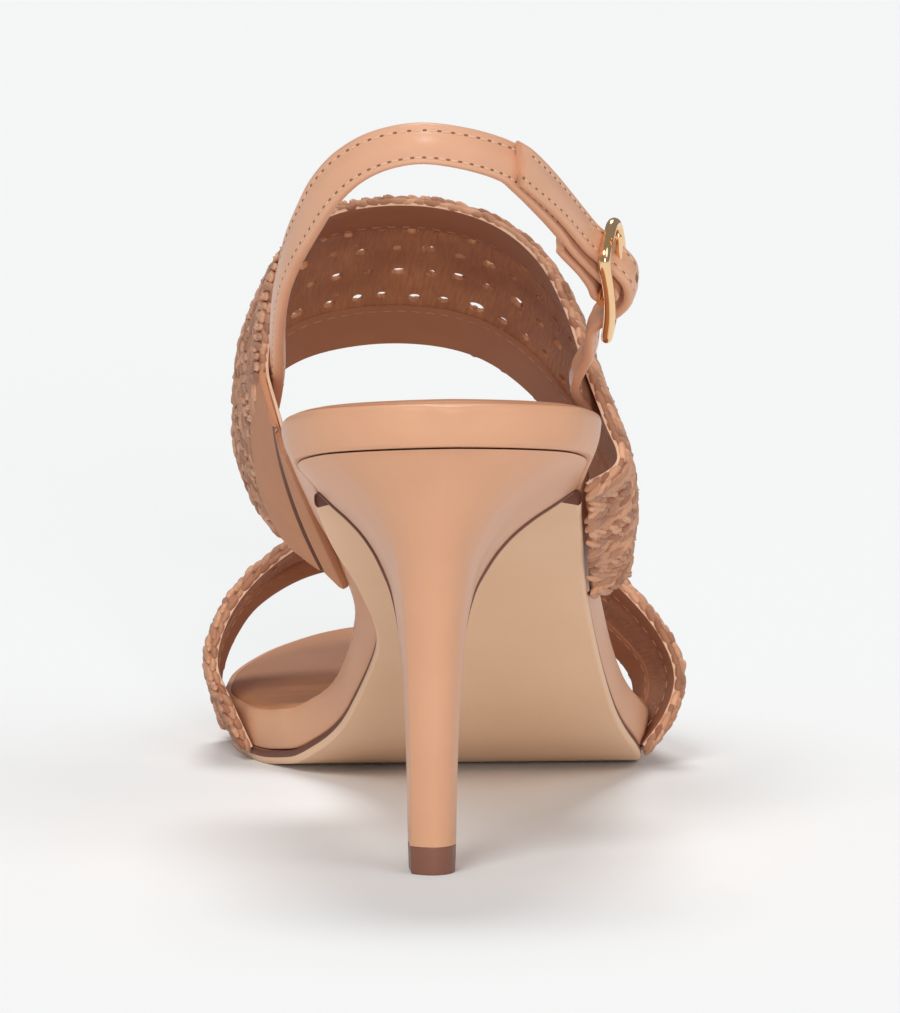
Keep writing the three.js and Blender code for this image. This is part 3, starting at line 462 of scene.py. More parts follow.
@dataclass(frozen=True)
class Leather:
    """Smooth calf leather with a satin dressing; grain and cloudiness are finer than its shape.

    Attributes:
        name: Material name.
        light: Lighter tone.
        dark: Darker tone.
        grain: Width of a grain cell in millimetres.
        depth: Depth of the grain in millimetres.
        roughness: Roughness of the dressing.
        cloud: Size of the tone's clouds in millimetres.
        coat: Weight of the polish on top.
        shine: Level of the reflection at its surface.
    """

    name: str
    light: str
    dark: str
    grain: float = 0.55
    depth: float = 0.035
    roughness: float = 0.42
    cloud: float = 14.0
    coat: float = 0.12
    shine: float = 0.32

    def material(self) -> bpy.types.Material:
        """Builds the leather.

        Returns:
            The material.
        """
        material, tree = shader_tree(self.name)
        place = add_node(tree, "ShaderNodeTexCoord").outputs["Object"]
        cloud = add_node(
            tree, "ShaderNodeTexNoise", {"Vector": place, "Scale": 1 / (self.cloud * MM), "Detail": 3.0}
        )
        grain = add_node(
            tree, "ShaderNodeTexVoronoi", {"Vector": place, "Scale": 1 / (self.grain * MM)}, feature="F1"
        )
        shade = cloud.outputs[0]
        finish_tree(tree, {
            "Base Color": between_tones(tree, shade, self.dark, self.light),
            "Roughness": between_values(tree, shade, self.roughness - 0.05, self.roughness + 0.06),
            "Specular IOR Level": self.shine,
            "Coat Weight": self.coat,
            "Coat Roughness": 0.3,
            "Normal": raised(tree, grain.outputs["Distance"], 0.35, self.depth),
        })
        return material


@dataclass(frozen=True)
class Raffia:
    """Twisted raffia yarn; each loop has its own tone and fine fibres along it.

    Attributes:
        name: Material name.
        light: Tone of the palest loops.
        dark: Tone of the darkest loops.
        fibre: Width of a fibre in millimetres.
        along_fibre: Length of a fibre's streak in millimetres.
        depth: Depth between fibres in millimetres.
        cloud: Size of a wall's clouds of tone in millimetres.
        on_wall: Whether the pattern lies on a wall, whose yarns run from edge to edge.
    """

    name: str
    light: str
    dark: str
    fibre: float = 0.35
    along_fibre: float = 3.5
    depth: float = 0.12
    cloud: float = 9.0
    on_wall: bool = False

    def material(self) -> bpy.types.Material:
        """Builds the raffia.

        Returns:
            The material.
        """
        material, tree = shader_tree(self.name)
        scale = (1 / (self.along_fibre * MM), 1 / (self.fibre * MM), 1)
        if self.on_wall:
            place = add_node(tree, "ShaderNodeUVMap", uv_map="surface").outputs[0]
            clouds = {"Vector": place, "Scale": 1 / (self.cloud * MM), "Detail": 2.0}
            tone = add_node(tree, "ShaderNodeTexNoise", clouds).outputs[0]
            scale = (scale[1], scale[0], 1)
        else:
            place = add_node(tree, "ShaderNodeAttribute", attribute_name="strand").outputs["Vector"]
            tone = add_node(tree, "ShaderNodeAttribute", attribute_name="tone").outputs["Fac"]
        stretched = add_node(tree, "ShaderNodeMapping", {"Vector": place, "Scale": scale})
        streaks = {"Vector": stretched.outputs[0], "Scale": 1.0, "Detail": 4.0, "Roughness": 0.6}
        fibres = add_node(tree, "ShaderNodeTexNoise", streaks).outputs[0]
        shade = add_node(tree, "ShaderNodeMath", {0: fibres, 1: tone}, operation="MULTIPLY")
        spread = add_node(
            tree, "ShaderNodeMapRange", {"Value": shade.outputs[0], "From Min": -0.1, "From Max": 0.5}
        )
        finish_tree(tree, {
            "Base Color": between_tones(tree, spread.outputs[0], self.dark, self.light),
            "Roughness": 0.72,
            "Specular IOR Level": 0.35,
            "Sheen Weight": 0.15,
            "Sheen Roughness": 0.5,
            "Normal": raised(tree, fibres, 0.7, self.depth),
        })
        return material


@dataclass(frozen=True)
class Plain:
    """Even finish: edge paint, thread, moulded plastic, plated metal, or a flat colour that stands for
    painted shade.

    Attributes:
        name: Material name.
        colour: Its colour.
        roughness: Roughness.
        metallic: 1 for plated metal.
        mottle: Size of the faint mottle in the gloss, in millimetres.
    """

    name: str
    colour: str
    roughness: float = 0.5
    metallic: float = 0.0
    mottle: float = 3.0

    def material(self) -> bpy.types.Material:
        """Builds the finish.

        Returns:
            The material.
        """
        material, tree = shader_tree(self.name)
        place = add_node(tree, "ShaderNodeTexCoord").outputs["Object"]
        cloud = add_node(tree, "ShaderNodeTexNoise", {"Vector": place, "Scale": 1 / (self.mottle * MM)})
        finish_tree(tree, {
            "Base Color": linear(self.colour),
            "Roughness": between_values(tree, cloud.outputs[0], self.roughness * 0.9, self.roughness * 1.15),
            "Metallic": self.metallic,
        })
        return material


class Finishes:
    """Every finish of the sandal, built once."""

    def __init__(self) -> None:
        """Builds the materials."""
        self.cover = Leather(
            "nude calf leather, satin", "#DCA684", "#CF9A79", roughness=0.36, coat=0.05, shine=0.2
        ).material()
        # Painted shade: a darker, less glossy copy of the cover leather, used on the instep band's inner end.
        self.shaded_facing = Leather(
            "nude calf leather, matt and darkened as painted shade", "#C9916F", "#B57D5C", roughness=0.62, coat=0.0, shine=0.08
        ).material()
        self.strap = Leather(
            "nude calf leather of the straps", "#E3AF8F", "#D19A79", grain=0.5, roughness=0.34, coat=0.12
        ).material()
        self.outsole = Leather(
            "buffed sole leather", "#EBC5A4", "#E0B694", grain=0.4, depth=0.02, roughness=0.5, cloud=22,
            coat=0.05,
        ).material()
        self.insole = Leather(
            "nude sock leather", "#C68D68", "#B27853", grain=0.6, roughness=0.5, coat=0.0
        ).material()
        self.lining = Leather(
            "brown lining leather", "#BC8666", "#A97153", grain=0.6, roughness=0.6, coat=0.0
        ).material()
        self.raffia = Raffia("crocheted raffia yarn", "#E2AA86", "#8A5236").material()
        self.yarn_back = Raffia(
            "back of the raffia crochet", "#D29366", "#8A4F31", fibre=0.55, along_fibre=5.0, depth=0.35,
            on_wall=True,
        ).material()
        self.cut_edge = Plain("cut leather edge", "#DDB596", 0.55).material()
        # Real edge paint on the outsole; the same dark brown is also painted shade on the heel's breast edges
        # and in the groove of the band's inner end.
        self.edge_paint_and_shade = Plain("dark brown edge paint and painted shade", "#6E4234", 0.45).material()
        self.thread = Plain("polyester thread", "#E0B595", 0.55, mottle=0.4).material()
        self.lining_thread = Plain("polyester thread of the lining", "#C08E70", 0.55, mottle=0.4).material()
        self.prick = Plain("shade in the needle pricks", "#8C5F49", 0.8).material()
        self.top_lift = Plain("moulded polyurethane, brown", "#7F5140", 0.42).material()
        self.gold = Plain("rose gold plating, polished", "#F4CB9C", 0.12, 1.0).material()


# What repeats


def scatter_tree() -> bpy.types.NodeTree:
    """Tree that sets a template on points, turned by their directions and varied by a fixed seed.

    Returns:
        The tree.
    """
    tree = bpy.data.node_groups.new("loops and stitches on points", "GeometryNodeTree")
    for name, kind in (
        ("Geometry", "NodeSocketGeometry"),
        ("Template", "NodeSocketObject"),
        ("Tilt", "NodeSocketFloat"),
        ("Swell", "NodeSocketFloat"),
        ("Seed", "NodeSocketInt"),
        ("Finish", "NodeSocketMaterial"),
    ):
        tree.interface.new_socket(name, in_out="INPUT", socket_type=kind)
    tree.interface.new_socket("Geometry", in_out="OUTPUT", socket_type="NodeSocketGeometry")
    given = add_node(tree, "NodeGroupInput").outputs

    def read(name: str) -> bpy.types.NodeSocket:
        """Vector attribute of the points."""
        found = add_node(tree, "GeometryNodeInputNamedAttribute", data_type="FLOAT_VECTOR")
        found.inputs["Name"].default_value = name
        return next(s for s in found.outputs if s.name == "Attribute" and s.enabled)

    def worked(operation: str, first: object, second: object) -> bpy.types.NodeSocket:
        """Outcome of a sum."""
        return add_node(tree, "ShaderNodeMath", {0: first, 1: second}, operation=operation).outputs[0]

    def drawn(kind: str, low: object, high: object, step: int) -> bpy.types.NodeSocket:
        """Random value of each point, from the seed and a step."""
        seed = add_node(tree, "FunctionNodeIntegerMath", {0: given["Seed"], 1: step}, operation="ADD")
        sockets = {"Min": low, "Max": high, "Seed": seed.outputs[0]}
        made = add_node(tree, "FunctionNodeRandomValue", sockets, data_type=kind)
        return next(s for s in made.outputs if s.enabled)

    turn = add_node(
        tree, "FunctionNodeAxesToRotation", {0: read("along"), 1: read("out")},
        primary_axis="X", secondary_axis="Z",
    )
    tilt = drawn("FLOAT_VECTOR", worked("MULTIPLY", given["Tilt"], -1.0), given["Tilt"], 0)
    jitter = add_node(tree, "FunctionNodeEulerToRotation", {0: tilt})
    rotation = add_node(
        tree, "FunctionNodeRotateRotation", {0: turn.outputs[0], 1: jitter.outputs[0]},
        rotation_space="LOCAL",
    )
    small, large = (worked(operation, 1.0, given["Swell"]) for operation in ("SUBTRACT", "ADD"))
    swell = drawn("FLOAT", small, large, 1)
    size = add_node(tree, "ShaderNodeVectorMath", {"Vector": read("size"), "Scale": swell}, operation="SCALE")
    template = add_node(tree, "GeometryNodeObjectInfo", {"Object": given["Template"]})
    placed = add_node(tree, "GeometryNodeInstanceOnPoints", {
        "Points": given["Geometry"],
        "Instance": template.outputs["Geometry"],
        "Rotation": rotation.outputs[0],
        "Scale": size.outputs[0],
    })
    toned = {"Geometry": placed.outputs[0], "Name": "tone", "Value": drawn("FLOAT", 0.0, 1.0, 2)}
    kept = add_node(
        tree, "GeometryNodeStoreNamedAttribute", toned, data_type="FLOAT", domain="INSTANCE"
    )
    real = add_node(tree, "GeometryNodeRealizeInstances", {"Geometry": kept.outputs[0]})
    dressed = add_node(
        tree, "GeometryNodeSetMaterial", {"Geometry": real.outputs[0], "Material": given["Finish"]}
    )
    add_node(tree, "NodeGroupOutput", {0: dressed.outputs[0]})
    return tree


@dataclass
class Repeats:
    """Points with directions and sizes, on which a template is set.

    Attributes:
        places: Points in millimetres.
        along: Direction of each template's length.
        out: Direction of each template's top.
        sizes: Length, width and height of each, in millimetres.
    """

    places: list[np.ndarray] = field(default_factory=list)
    along: list[np.ndarray] = field(default_factory=list)
    out: list[np.ndarray] = field(default_factory=list)
    sizes: list[np.ndarray] = field(default_factory=list)

    def add(
        self, places: np.ndarray, along: np.ndarray, out: np.ndarray, size: tuple[float, float, float]
    ) -> None:
        """Adds a row of points with one size.

        Args:
            places: Points in millimetres.
            along: Directions of the templates' length.
            out: Directions of the templates' top.
            size: Length, width and height in millimetres.
        """
        self.places.append(places)
        self.along.append(along)
        self.out.append(out)
        self.sizes.append(np.tile(size, (len(places), 1)))

    def piece(
        self,
        name: str,
        template: bpy.types.Object,
        finish: bpy.types.Material,
        tree: bpy.types.NodeTree,
        tilt: float = 0.0,
        swell: float = 0.0,
    ) -> bpy.types.Object:
        """Sets the template on the points as one plain mesh.

        Args:
            name: Object name.
            template: Object that is repeated.
            finish: Material of all of it.
            tree: The scatter tree.
            tilt: Largest random turn in radians.
            swell: Largest random share of growth.

        Returns:
            The mesh object.
        """
        places = np.vstack(self.places) * MM
        mesh = bpy.data.meshes.new(name + "_points")
        mesh.from_pydata(places.tolist(), [], [])
        for key, values, factor in (
            ("along", self.along, 1.0), ("out", self.out, 1.0), ("size", self.sizes, MM),
        ):
            layer = mesh.attributes.new(key, "FLOAT_VECTOR", "POINT")
            layer.data.foreach_set("vector", (np.vstack(values) * factor).astype(np.float32).ravel())
        holder = new_object(name + "_points", mesh)
        modifier = holder.modifiers.new("repeat", "NODES")
        modifier.node_group = tree
        given = {
            "Template": template, "Tilt": float(tilt), "Swell": float(swell), "Seed": SEED,
            "Finish": finish,
        }
        for item in tree.interface.items_tree:
            if item.in_out == "INPUT" and item.name in given:
                modifier[item.identifier] = given[item.name]
        graph = bpy.context.evaluated_depsgraph_get()
        made = bpy.data.meshes.new_from_object(
            holder.evaluated_get(graph), preserve_all_data_layers=True, depsgraph=graph
        )
        made.name = name
        bpy.data.objects.remove(holder)
        return new_object(name, made)


class Templates:
    """The small shapes that repeat, each about one unit long, wide and high."""

    def __init__(self) -> None:
        """Builds them."""
        hexagon = tuple((0.5 * math.cos(a), 0.5 * math.sin(a)) for a in np.arange(6) * math.pi / 3)
        self.loop = self.swept(
            "yarn_loop",
            stations=((-0.5, 0.25), (-0.36, 0.78), (-0.12, 1), (0.14, 0.97), (0.37, 0.75), (0.5, 0.22)),
            section=(
                (-0.5, 0.0), (-0.3, 0.42), (-0.08, 0.32), (0.2, 0.5), (0.5, 0.05), (0.22, -0.4),
                (-0.25, -0.4),
            ),
        )
        self.thread = self.swept(
            "thread_stitch",
            stations=((-0.5, 0.35), (-0.36, 0.85), (0, 1), (0.36, 0.85), (0.5, 0.35)),
            section=hexagon,
        )
        self.prick = self.swept(
            "needle_prick",
            stations=((-0.5, 0.5), (-0.3, 0.9), (0.3, 0.9), (0.5, 0.5)),
            section=hexagon,
        )

    @staticmethod
    def swept(
        name: str, stations: tuple[tuple[float, float], ...], section: tuple[tuple[float, float], ...]
    ) -> bpy.types.Object:
        """Closed body swept along its length, with strand coordinates of its own.

        Args:
            name: Object name.
            stations: Place along the length and size there.
            section: Outline across.

        Returns:
            The template object, not rendered itself.
        """
        points = [(x, s * y, s * z) for x, s in stations for y, z in section]
        count = len(section)
        faces = loft_faces(len(stations), count)
        last = (len(stations) - 1) * count
        faces.append(tuple(reversed(range(count))))
        faces.append(tuple(range(last, last + count)))
        mesh = bpy.data.meshes.new(name)
        mesh.from_pydata(points, [], faces)
        mesh.polygons.foreach_set("use_smooth", [True] * len(mesh.polygons))
        strand = mesh.attributes.new("strand", "FLOAT_VECTOR", "POINT")
        spread = np.array(points) * STRAND_SIZE * MM
        strand.data.foreach_set("vector", spread.astype(np.float32).ravel())
        work = bmesh.new()
        work.from_mesh(mesh)
        turn_outward(work)
        work.to_mesh(mesh)
        work.free()
        made = new_object(name, mesh)
        made.hide_render = True
        return made

    def remove(self) -> None:
        """Removes the templates once everything is set."""
        for made in (self.loop, self.thread, self.prick):
            bpy.data.objects.remove(made)


# Sole


@dataclass(frozen=True)
class Level:
    """Level of a sole layer's side.

    Attributes:
        height: Height above the sole line in millimetres.
        inset: Distance in from the rim's outline in millimetres.
        waist: Share of the inner waist's bevel.
    """

    height: float
    inset: float
    waist: float = 0.0


@dataclass(frozen=True)
class SoleForm:
    """The last's sole: its line, outline and layers, in millimetres.

    Attributes:
        length: Length in plan.
        overhang: How far it reaches behind the heel tip's middle.
        seat_height: Height of the sole line at the seat's back edge.
        toe_spring: Height of the sole line at the toe's tip.
        ball_width: Width at the ball.
        seat_shift: How far its middle line lies to the outer side.
        outsole: Thickness of the outsole.
        footbed: Thickness of the footbed.
        bevel: How far the outsole's edge stands in.
        waist_bevel: How far the inner waist is cut in below.
        seat_dish: Depth of the seat's dish.
        seat_end: Place along the foot round which the dish fades.
        clearance: Gap between layers.
        end_angle: Station angle left out at both ends, in radians.
        breast: Place of the heel's breast at its corners, where the outsole starts.
        hollow: Depth of the breast's hollow.
    """

    length: float = 227.0
    overhang: float = 24.0
    seat_height: float = 75.0
    toe_spring: float = 6.5
    ball_width: float = 77.0
    seat_shift: float = 1.9
    outsole: float = 2.5
    footbed: float = 7.5
    bevel: float = 1.5
    waist_bevel: float = 3.2
    seat_dish: float = 1.2
    seat_end: float = 34.0
    clearance: float = 0.3
    end_angle: float = 0.004
    breast: float = 24.0
    hollow: float = 9.0

    @property
    def footbed_base(self) -> float:
        """Height of the footbed's lower face."""
        return self.outsole + self.clearance

    @property
    def footbed_top(self) -> float:
        """Height of the footbed's upper face."""
        return self.footbed_base + self.footbed

    def height(self, y: np.ndarray | float) -> np.ndarray:
        """Height of the sole line."""
        along = (np.asarray(y, float) + self.overhang) / self.length
        rise = monotone(SOLE_LINE, 1, along) * self.seat_height
        return rise + monotone(SOLE_LINE, 2, along) * self.toe_spring

    def slope(self, y: np.ndarray | float) -> np.ndarray:
        """Slope of the sole line."""
        return self.height(np.asarray(y) + 0.5) - self.height(np.asarray(y) - 0.5)

    def point(self, x: np.ndarray, y: np.ndarray, up: np.ndarray | float) -> np.ndarray:
        """Points at a height square to the sole line."""
        slope = self.slope(y)
        short = 1 / np.hypot(1, slope)
        parts = (x, y - up * slope * short, self.height(y) + up * short)
        return np.stack(np.broadcast_arrays(*parts), axis=-1)

    def above(self, y: np.ndarray | float) -> np.ndarray:
        """Height of the footbed's upper face straight above a place."""
        return self.height(y) + self.footbed_top * np.hypot(1, self.slope(y))

    def place_along(self, along: np.ndarray | float) -> np.ndarray:
        """Place of a share of the length."""
        return np.asarray(along) * self.length - self.overhang

    def edge(self, y: np.ndarray | float, side: Side, inset: float = 0.0, waist: float = 0.0) -> np.ndarray:
        """Place of the rim's edge.

        Args:
            y: Place along the foot.
            side: Side of the foot.
            inset: Distance in from the outline.
            waist: Share of the inner waist's bevel.

        Returns:
            The edge's place across the foot.
        """
        along = np.clip((np.asarray(y, float) + self.overhang - inset) / (self.length - 2 * inset), 0, 1)
        rows = RIM_OUTLINE.copy()
        rows[:, 0] = np.arccos(1 - 2 * rows[:, 0])
        full = self.ball_width * monotone(rows, 1 if side is Side.INNER else 2, np.arccos(1 - 2 * along))
        ease = smoothstep(along, 0.1, 0.22) * (1 - smoothstep(along, 0.42, 0.56))
        bevel = waist * self.waist_bevel * ease if side is Side.INNER else 0
        drawn = inset * full / np.maximum(full + inset, 1e-9)
        return self.seat_shift + side.value * (full - drawn - bevel)

    def station(self, angle: np.ndarray | float, inset: float) -> np.ndarray:
        """Place along the foot of a station's angle."""
        return inset - self.overhang + (self.length - 2 * inset) * (1 - np.cos(angle)) / 2

    def dish(self, y: np.ndarray, across: np.ndarray) -> np.ndarray:
        """Depth of the seat's dish."""
        fade = smoothstep(y, self.seat_end / 3, self.seat_end * 1.5)
        return self.seat_dish * (1 - across**2) * (1 - fade)

    def row(self, y: np.ndarray, level: Level, across: np.ndarray, dished: bool) -> np.ndarray:
        """Row of points across the foot at each place along it.

        Args:
            y: Places along the foot, as a column or a grid.
            level: Height and edge of the row.
            across: Shares of the half width.
            dished: Whether the row is dished at the seat.

        Returns:
            Points, place by place.
        """
        y = y + 0 * across
        inner = self.edge(y, Side.INNER, level.inset, level.waist)
        outer = self.edge(y, Side.OUTER, level.inset, level.waist)
        reach = np.where(across < 0, inner, outer)
        x = self.seat_shift + (reach - self.seat_shift) * np.abs(across)
        return self.point(x, y, level.height - (self.dish(y, across) if dished else 0))

    def rings(
        self, levels: list[Level], stations: int, across: np.ndarray, dished_base: bool = False
    ) -> np.ndarray:
        """Closed rings of a layer along the whole foot.

        Args:
            levels: Levels of its side, from the base to the top.
            stations: Steps along the foot.
            across: Shares of the half width of the base's and top's points.
            dished_base: Whether its base is dished at the seat, like its top.

        Returns:
            Points, ring by ring.
        """
        angles = np.linspace(self.end_angle, math.pi - self.end_angle, stations + 1)

        def at(level: Level, shares: np.ndarray) -> np.ndarray:
            """Row of one level."""
            dished = dished_base or level is not levels[0]
            return self.row(self.station(angles, level.inset)[:, None], level, shares, dished)

        return wrapped(levels, across, at)


def wrapped(
    levels: list[Level], across: np.ndarray, at: Callable[[Level, np.ndarray], np.ndarray]
) -> np.ndarray:
    """Closed rings from rows: the base, up the right side, the top and down the left side.

    Args:
        levels: Levels from the base to the top.
        across: Shares of the half width of the base's and top's points.
        at: Row of a level at shares of the half width.

    Returns:
        Points, ring by ring.
    """
    first, *middle, last = levels
    rows = [at(first, across)]
    rows += [at(level, np.array([1.0])) for level in middle]
    rows += [at(last, across[::-1])]
    rows += [at(level, np.array([-1.0])) for level in reversed(middle)]
    return np.concatenate(rows, axis=1)


def end_rungs(count: int, row: int) -> list[tuple[int, ...]]:
    """Cap of a narrow end ring: rungs from side to side at each level.

    Args:
        count: Points in the ring.
        row: Points in its base, and in its top.

    Returns:
        Faces by point index.
    """
    levels = count // 2 - row
    faces = [(count - 1, i, i + 1) for i in range(row)]
    faces += [(count - i, row - 1 + i, row + i, count - 1 - i) for i in range(1, levels)]
    faces += [(count - levels, row - 1 + i, row + i) for i in range(levels, levels + row)]
    return faces


@dataclass
class Platform:
    """Footbed, insole and outsole.

    Attributes:
        form: The sole.
        finishes: The finishes.
        across: Shares of the half width at which a row has points.
        stations: Steps along the whole foot.
        outsole_stations: Steps along the outsole.
    """

    form: SoleForm
    finishes: Finishes
    across: np.ndarray = field(default_factory=lambda: np.sin(np.linspace(-1, 1, 25) * math.pi / 2))
    stations: int = 180
    outsole_stations: int = 150

    def layer(self, name: str, rings: np.ndarray, finish: bpy.types.Material) -> bpy.types.Object:
        """Layer from its rings, closed at heel and toe.

        Args:
            name: Object name.
            rings: Points, ring by ring.
            finish: Its material.

        Returns:
            The layer.
        """
        count = rings.shape[1]
        points = rings.reshape(-1, 3)
        faces = loft_faces(len(rings), count)
        cap = end_rungs(count, len(self.across))
        start = len(points) - count
        faces += [tuple(reversed(face)) for face in cap]
        faces += [tuple(start + i for i in face) for face in cap]
        return mesh_piece(name, points, faces, [finish])

    def footbed(self) -> None:
        """Board wrapped in leather, with a round upper edge."""
        form = self.form
        shape = (
            (0, 2.1, 1), (0.025, 1.65, 1), (0.1, 1.35, 0.9), (0.25, 0.85, 0.68), (0.4, 0.5, 0.45),
            (0.55, 0.25, 0.28), (0.7, 0.08, 0.12), (0.8, 0, 0), (0.87, 0.05, 0), (0.93, 0.22, 0),
            (0.97, 0.5, 0), (0.992, 0.85, 0), (1, 1.3, 0),
        )
        levels = [Level(form.footbed_base + h * form.footbed, inset, waist) for h, inset, waist in shape]
        rings = form.rings(levels, self.stations, self.across)
        piece = self.layer("footbed_wrap", rings, self.finishes.cover)
        place_piece(piece, "upper_leather", "footbed")

    def insole(self) -> None:
        """Sock leather over thin foam, with soft creases behind the toe band."""
        form = self.form
        shape = ((-0.15, 1.35), (0.12, 1.4), (0.3, 1.6), (0.5, 2.2), (0.75, 3.4), (0.95, 4.8), (1.1, 6.6))
        levels = [Level(form.footbed_top + h, inset) for h, inset in shape]
        rings = self.creased(form.rings(levels, self.stations, self.across, True))
        piece = self.layer("insole_sock", rings, self.finishes.insole)
        place_piece(piece, "insole_leather", "insole")

    def creased(self, rings: np.ndarray) -> np.ndarray:
        """Presses the insole's main creases, each at a place along and across the foot.

        Args:
            rings: The insole's points, ring by ring.

        Returns:
            The same points, pressed.
        """
        row = len(self.across)
        levels = rings.shape[1] // 2 - row
        top = slice(row + levels, 2 * row + levels)
        x, y = rings[:, top, 0], rings[:, top, 1]
        for middle, centre, turn, width, length, depth in CREASES:
            along = (x - middle) * math.cos(turn) + (y - centre) * math.sin(turn)
            off = (y - centre) * math.cos(turn) - (x - middle) * math.sin(turn) + 0.02 * along**2
            ridge = np.exp(-((off / width) ** 2)) - 0.6 * np.exp(-(((off - 2 * width) / width) ** 2))
            rings[:, top, 2] -= depth * ridge * np.exp(-((along / length) ** 2))
        return rings

    def outsole(self) -> None:
        """Leather outsole from the breast to the toe, its cut edge painted."""
        form, row = self.form, len(self.across)
        start = math.acos(1 - 2 * (form.breast + form.overhang) / form.length)
        angles = np.linspace(start, math.pi - form.end_angle, self.outsole_stations + 1)[:, None]
        shape = ((0, 0.75), (0.25, 0.3), (0.7, 0.05), (1.2, 0), (2.2, 0.05), (form.outsole, 0.3))
        levels = [Level(height, form.bevel + inset, 1) for height, inset in shape]

        def at(level: Level, across: np.ndarray) -> np.ndarray:
            """Row of one level, hollowed at the breast."""
            place = form.station(angles, level.inset)
            pull = 1 - smoothstep(place, form.breast, 2 * form.breast)
            y = place + (form.clearance - form.hollow * (1 - across**2)) * pull
            return form.row(y, level, across, False)

        rings = wrapped(levels, self.across, at)
        count = rings.shape[1]
        middle = len(levels) - 2
        points = rings.reshape(-1, 3)
        faces = loft_faces(len(rings), count)
        right, last = row + middle - 2, 2 * row + middle - 1
        edge = {right, right + 1, last, last + 1}
        painted = [1 if i % count in edge else 0 for i in range(len(faces))]
        cap = [(i, i + 1, last - 1 - i, last - i) for i in range(row - 1)]
        cap.append((0, last, *range(last + 1, count)))
        cap.append((row - 1, *range(row, row + middle), row + middle))
        faces += [tuple(reversed(face)) for face in cap]
        tip = [tuple(len(points) - count + i for i in face) for face in end_rungs(count, row)]
        faces += tip
        painted += [1] * (len(cap) + len(tip))
        piece = mesh_piece(
            "outsole_leather", points, faces, [self.finishes.outsole, self.finishes.edge_paint_and_shade], painted
        )
        place_piece(piece, "outsole_leather", "outsole")


# Heel


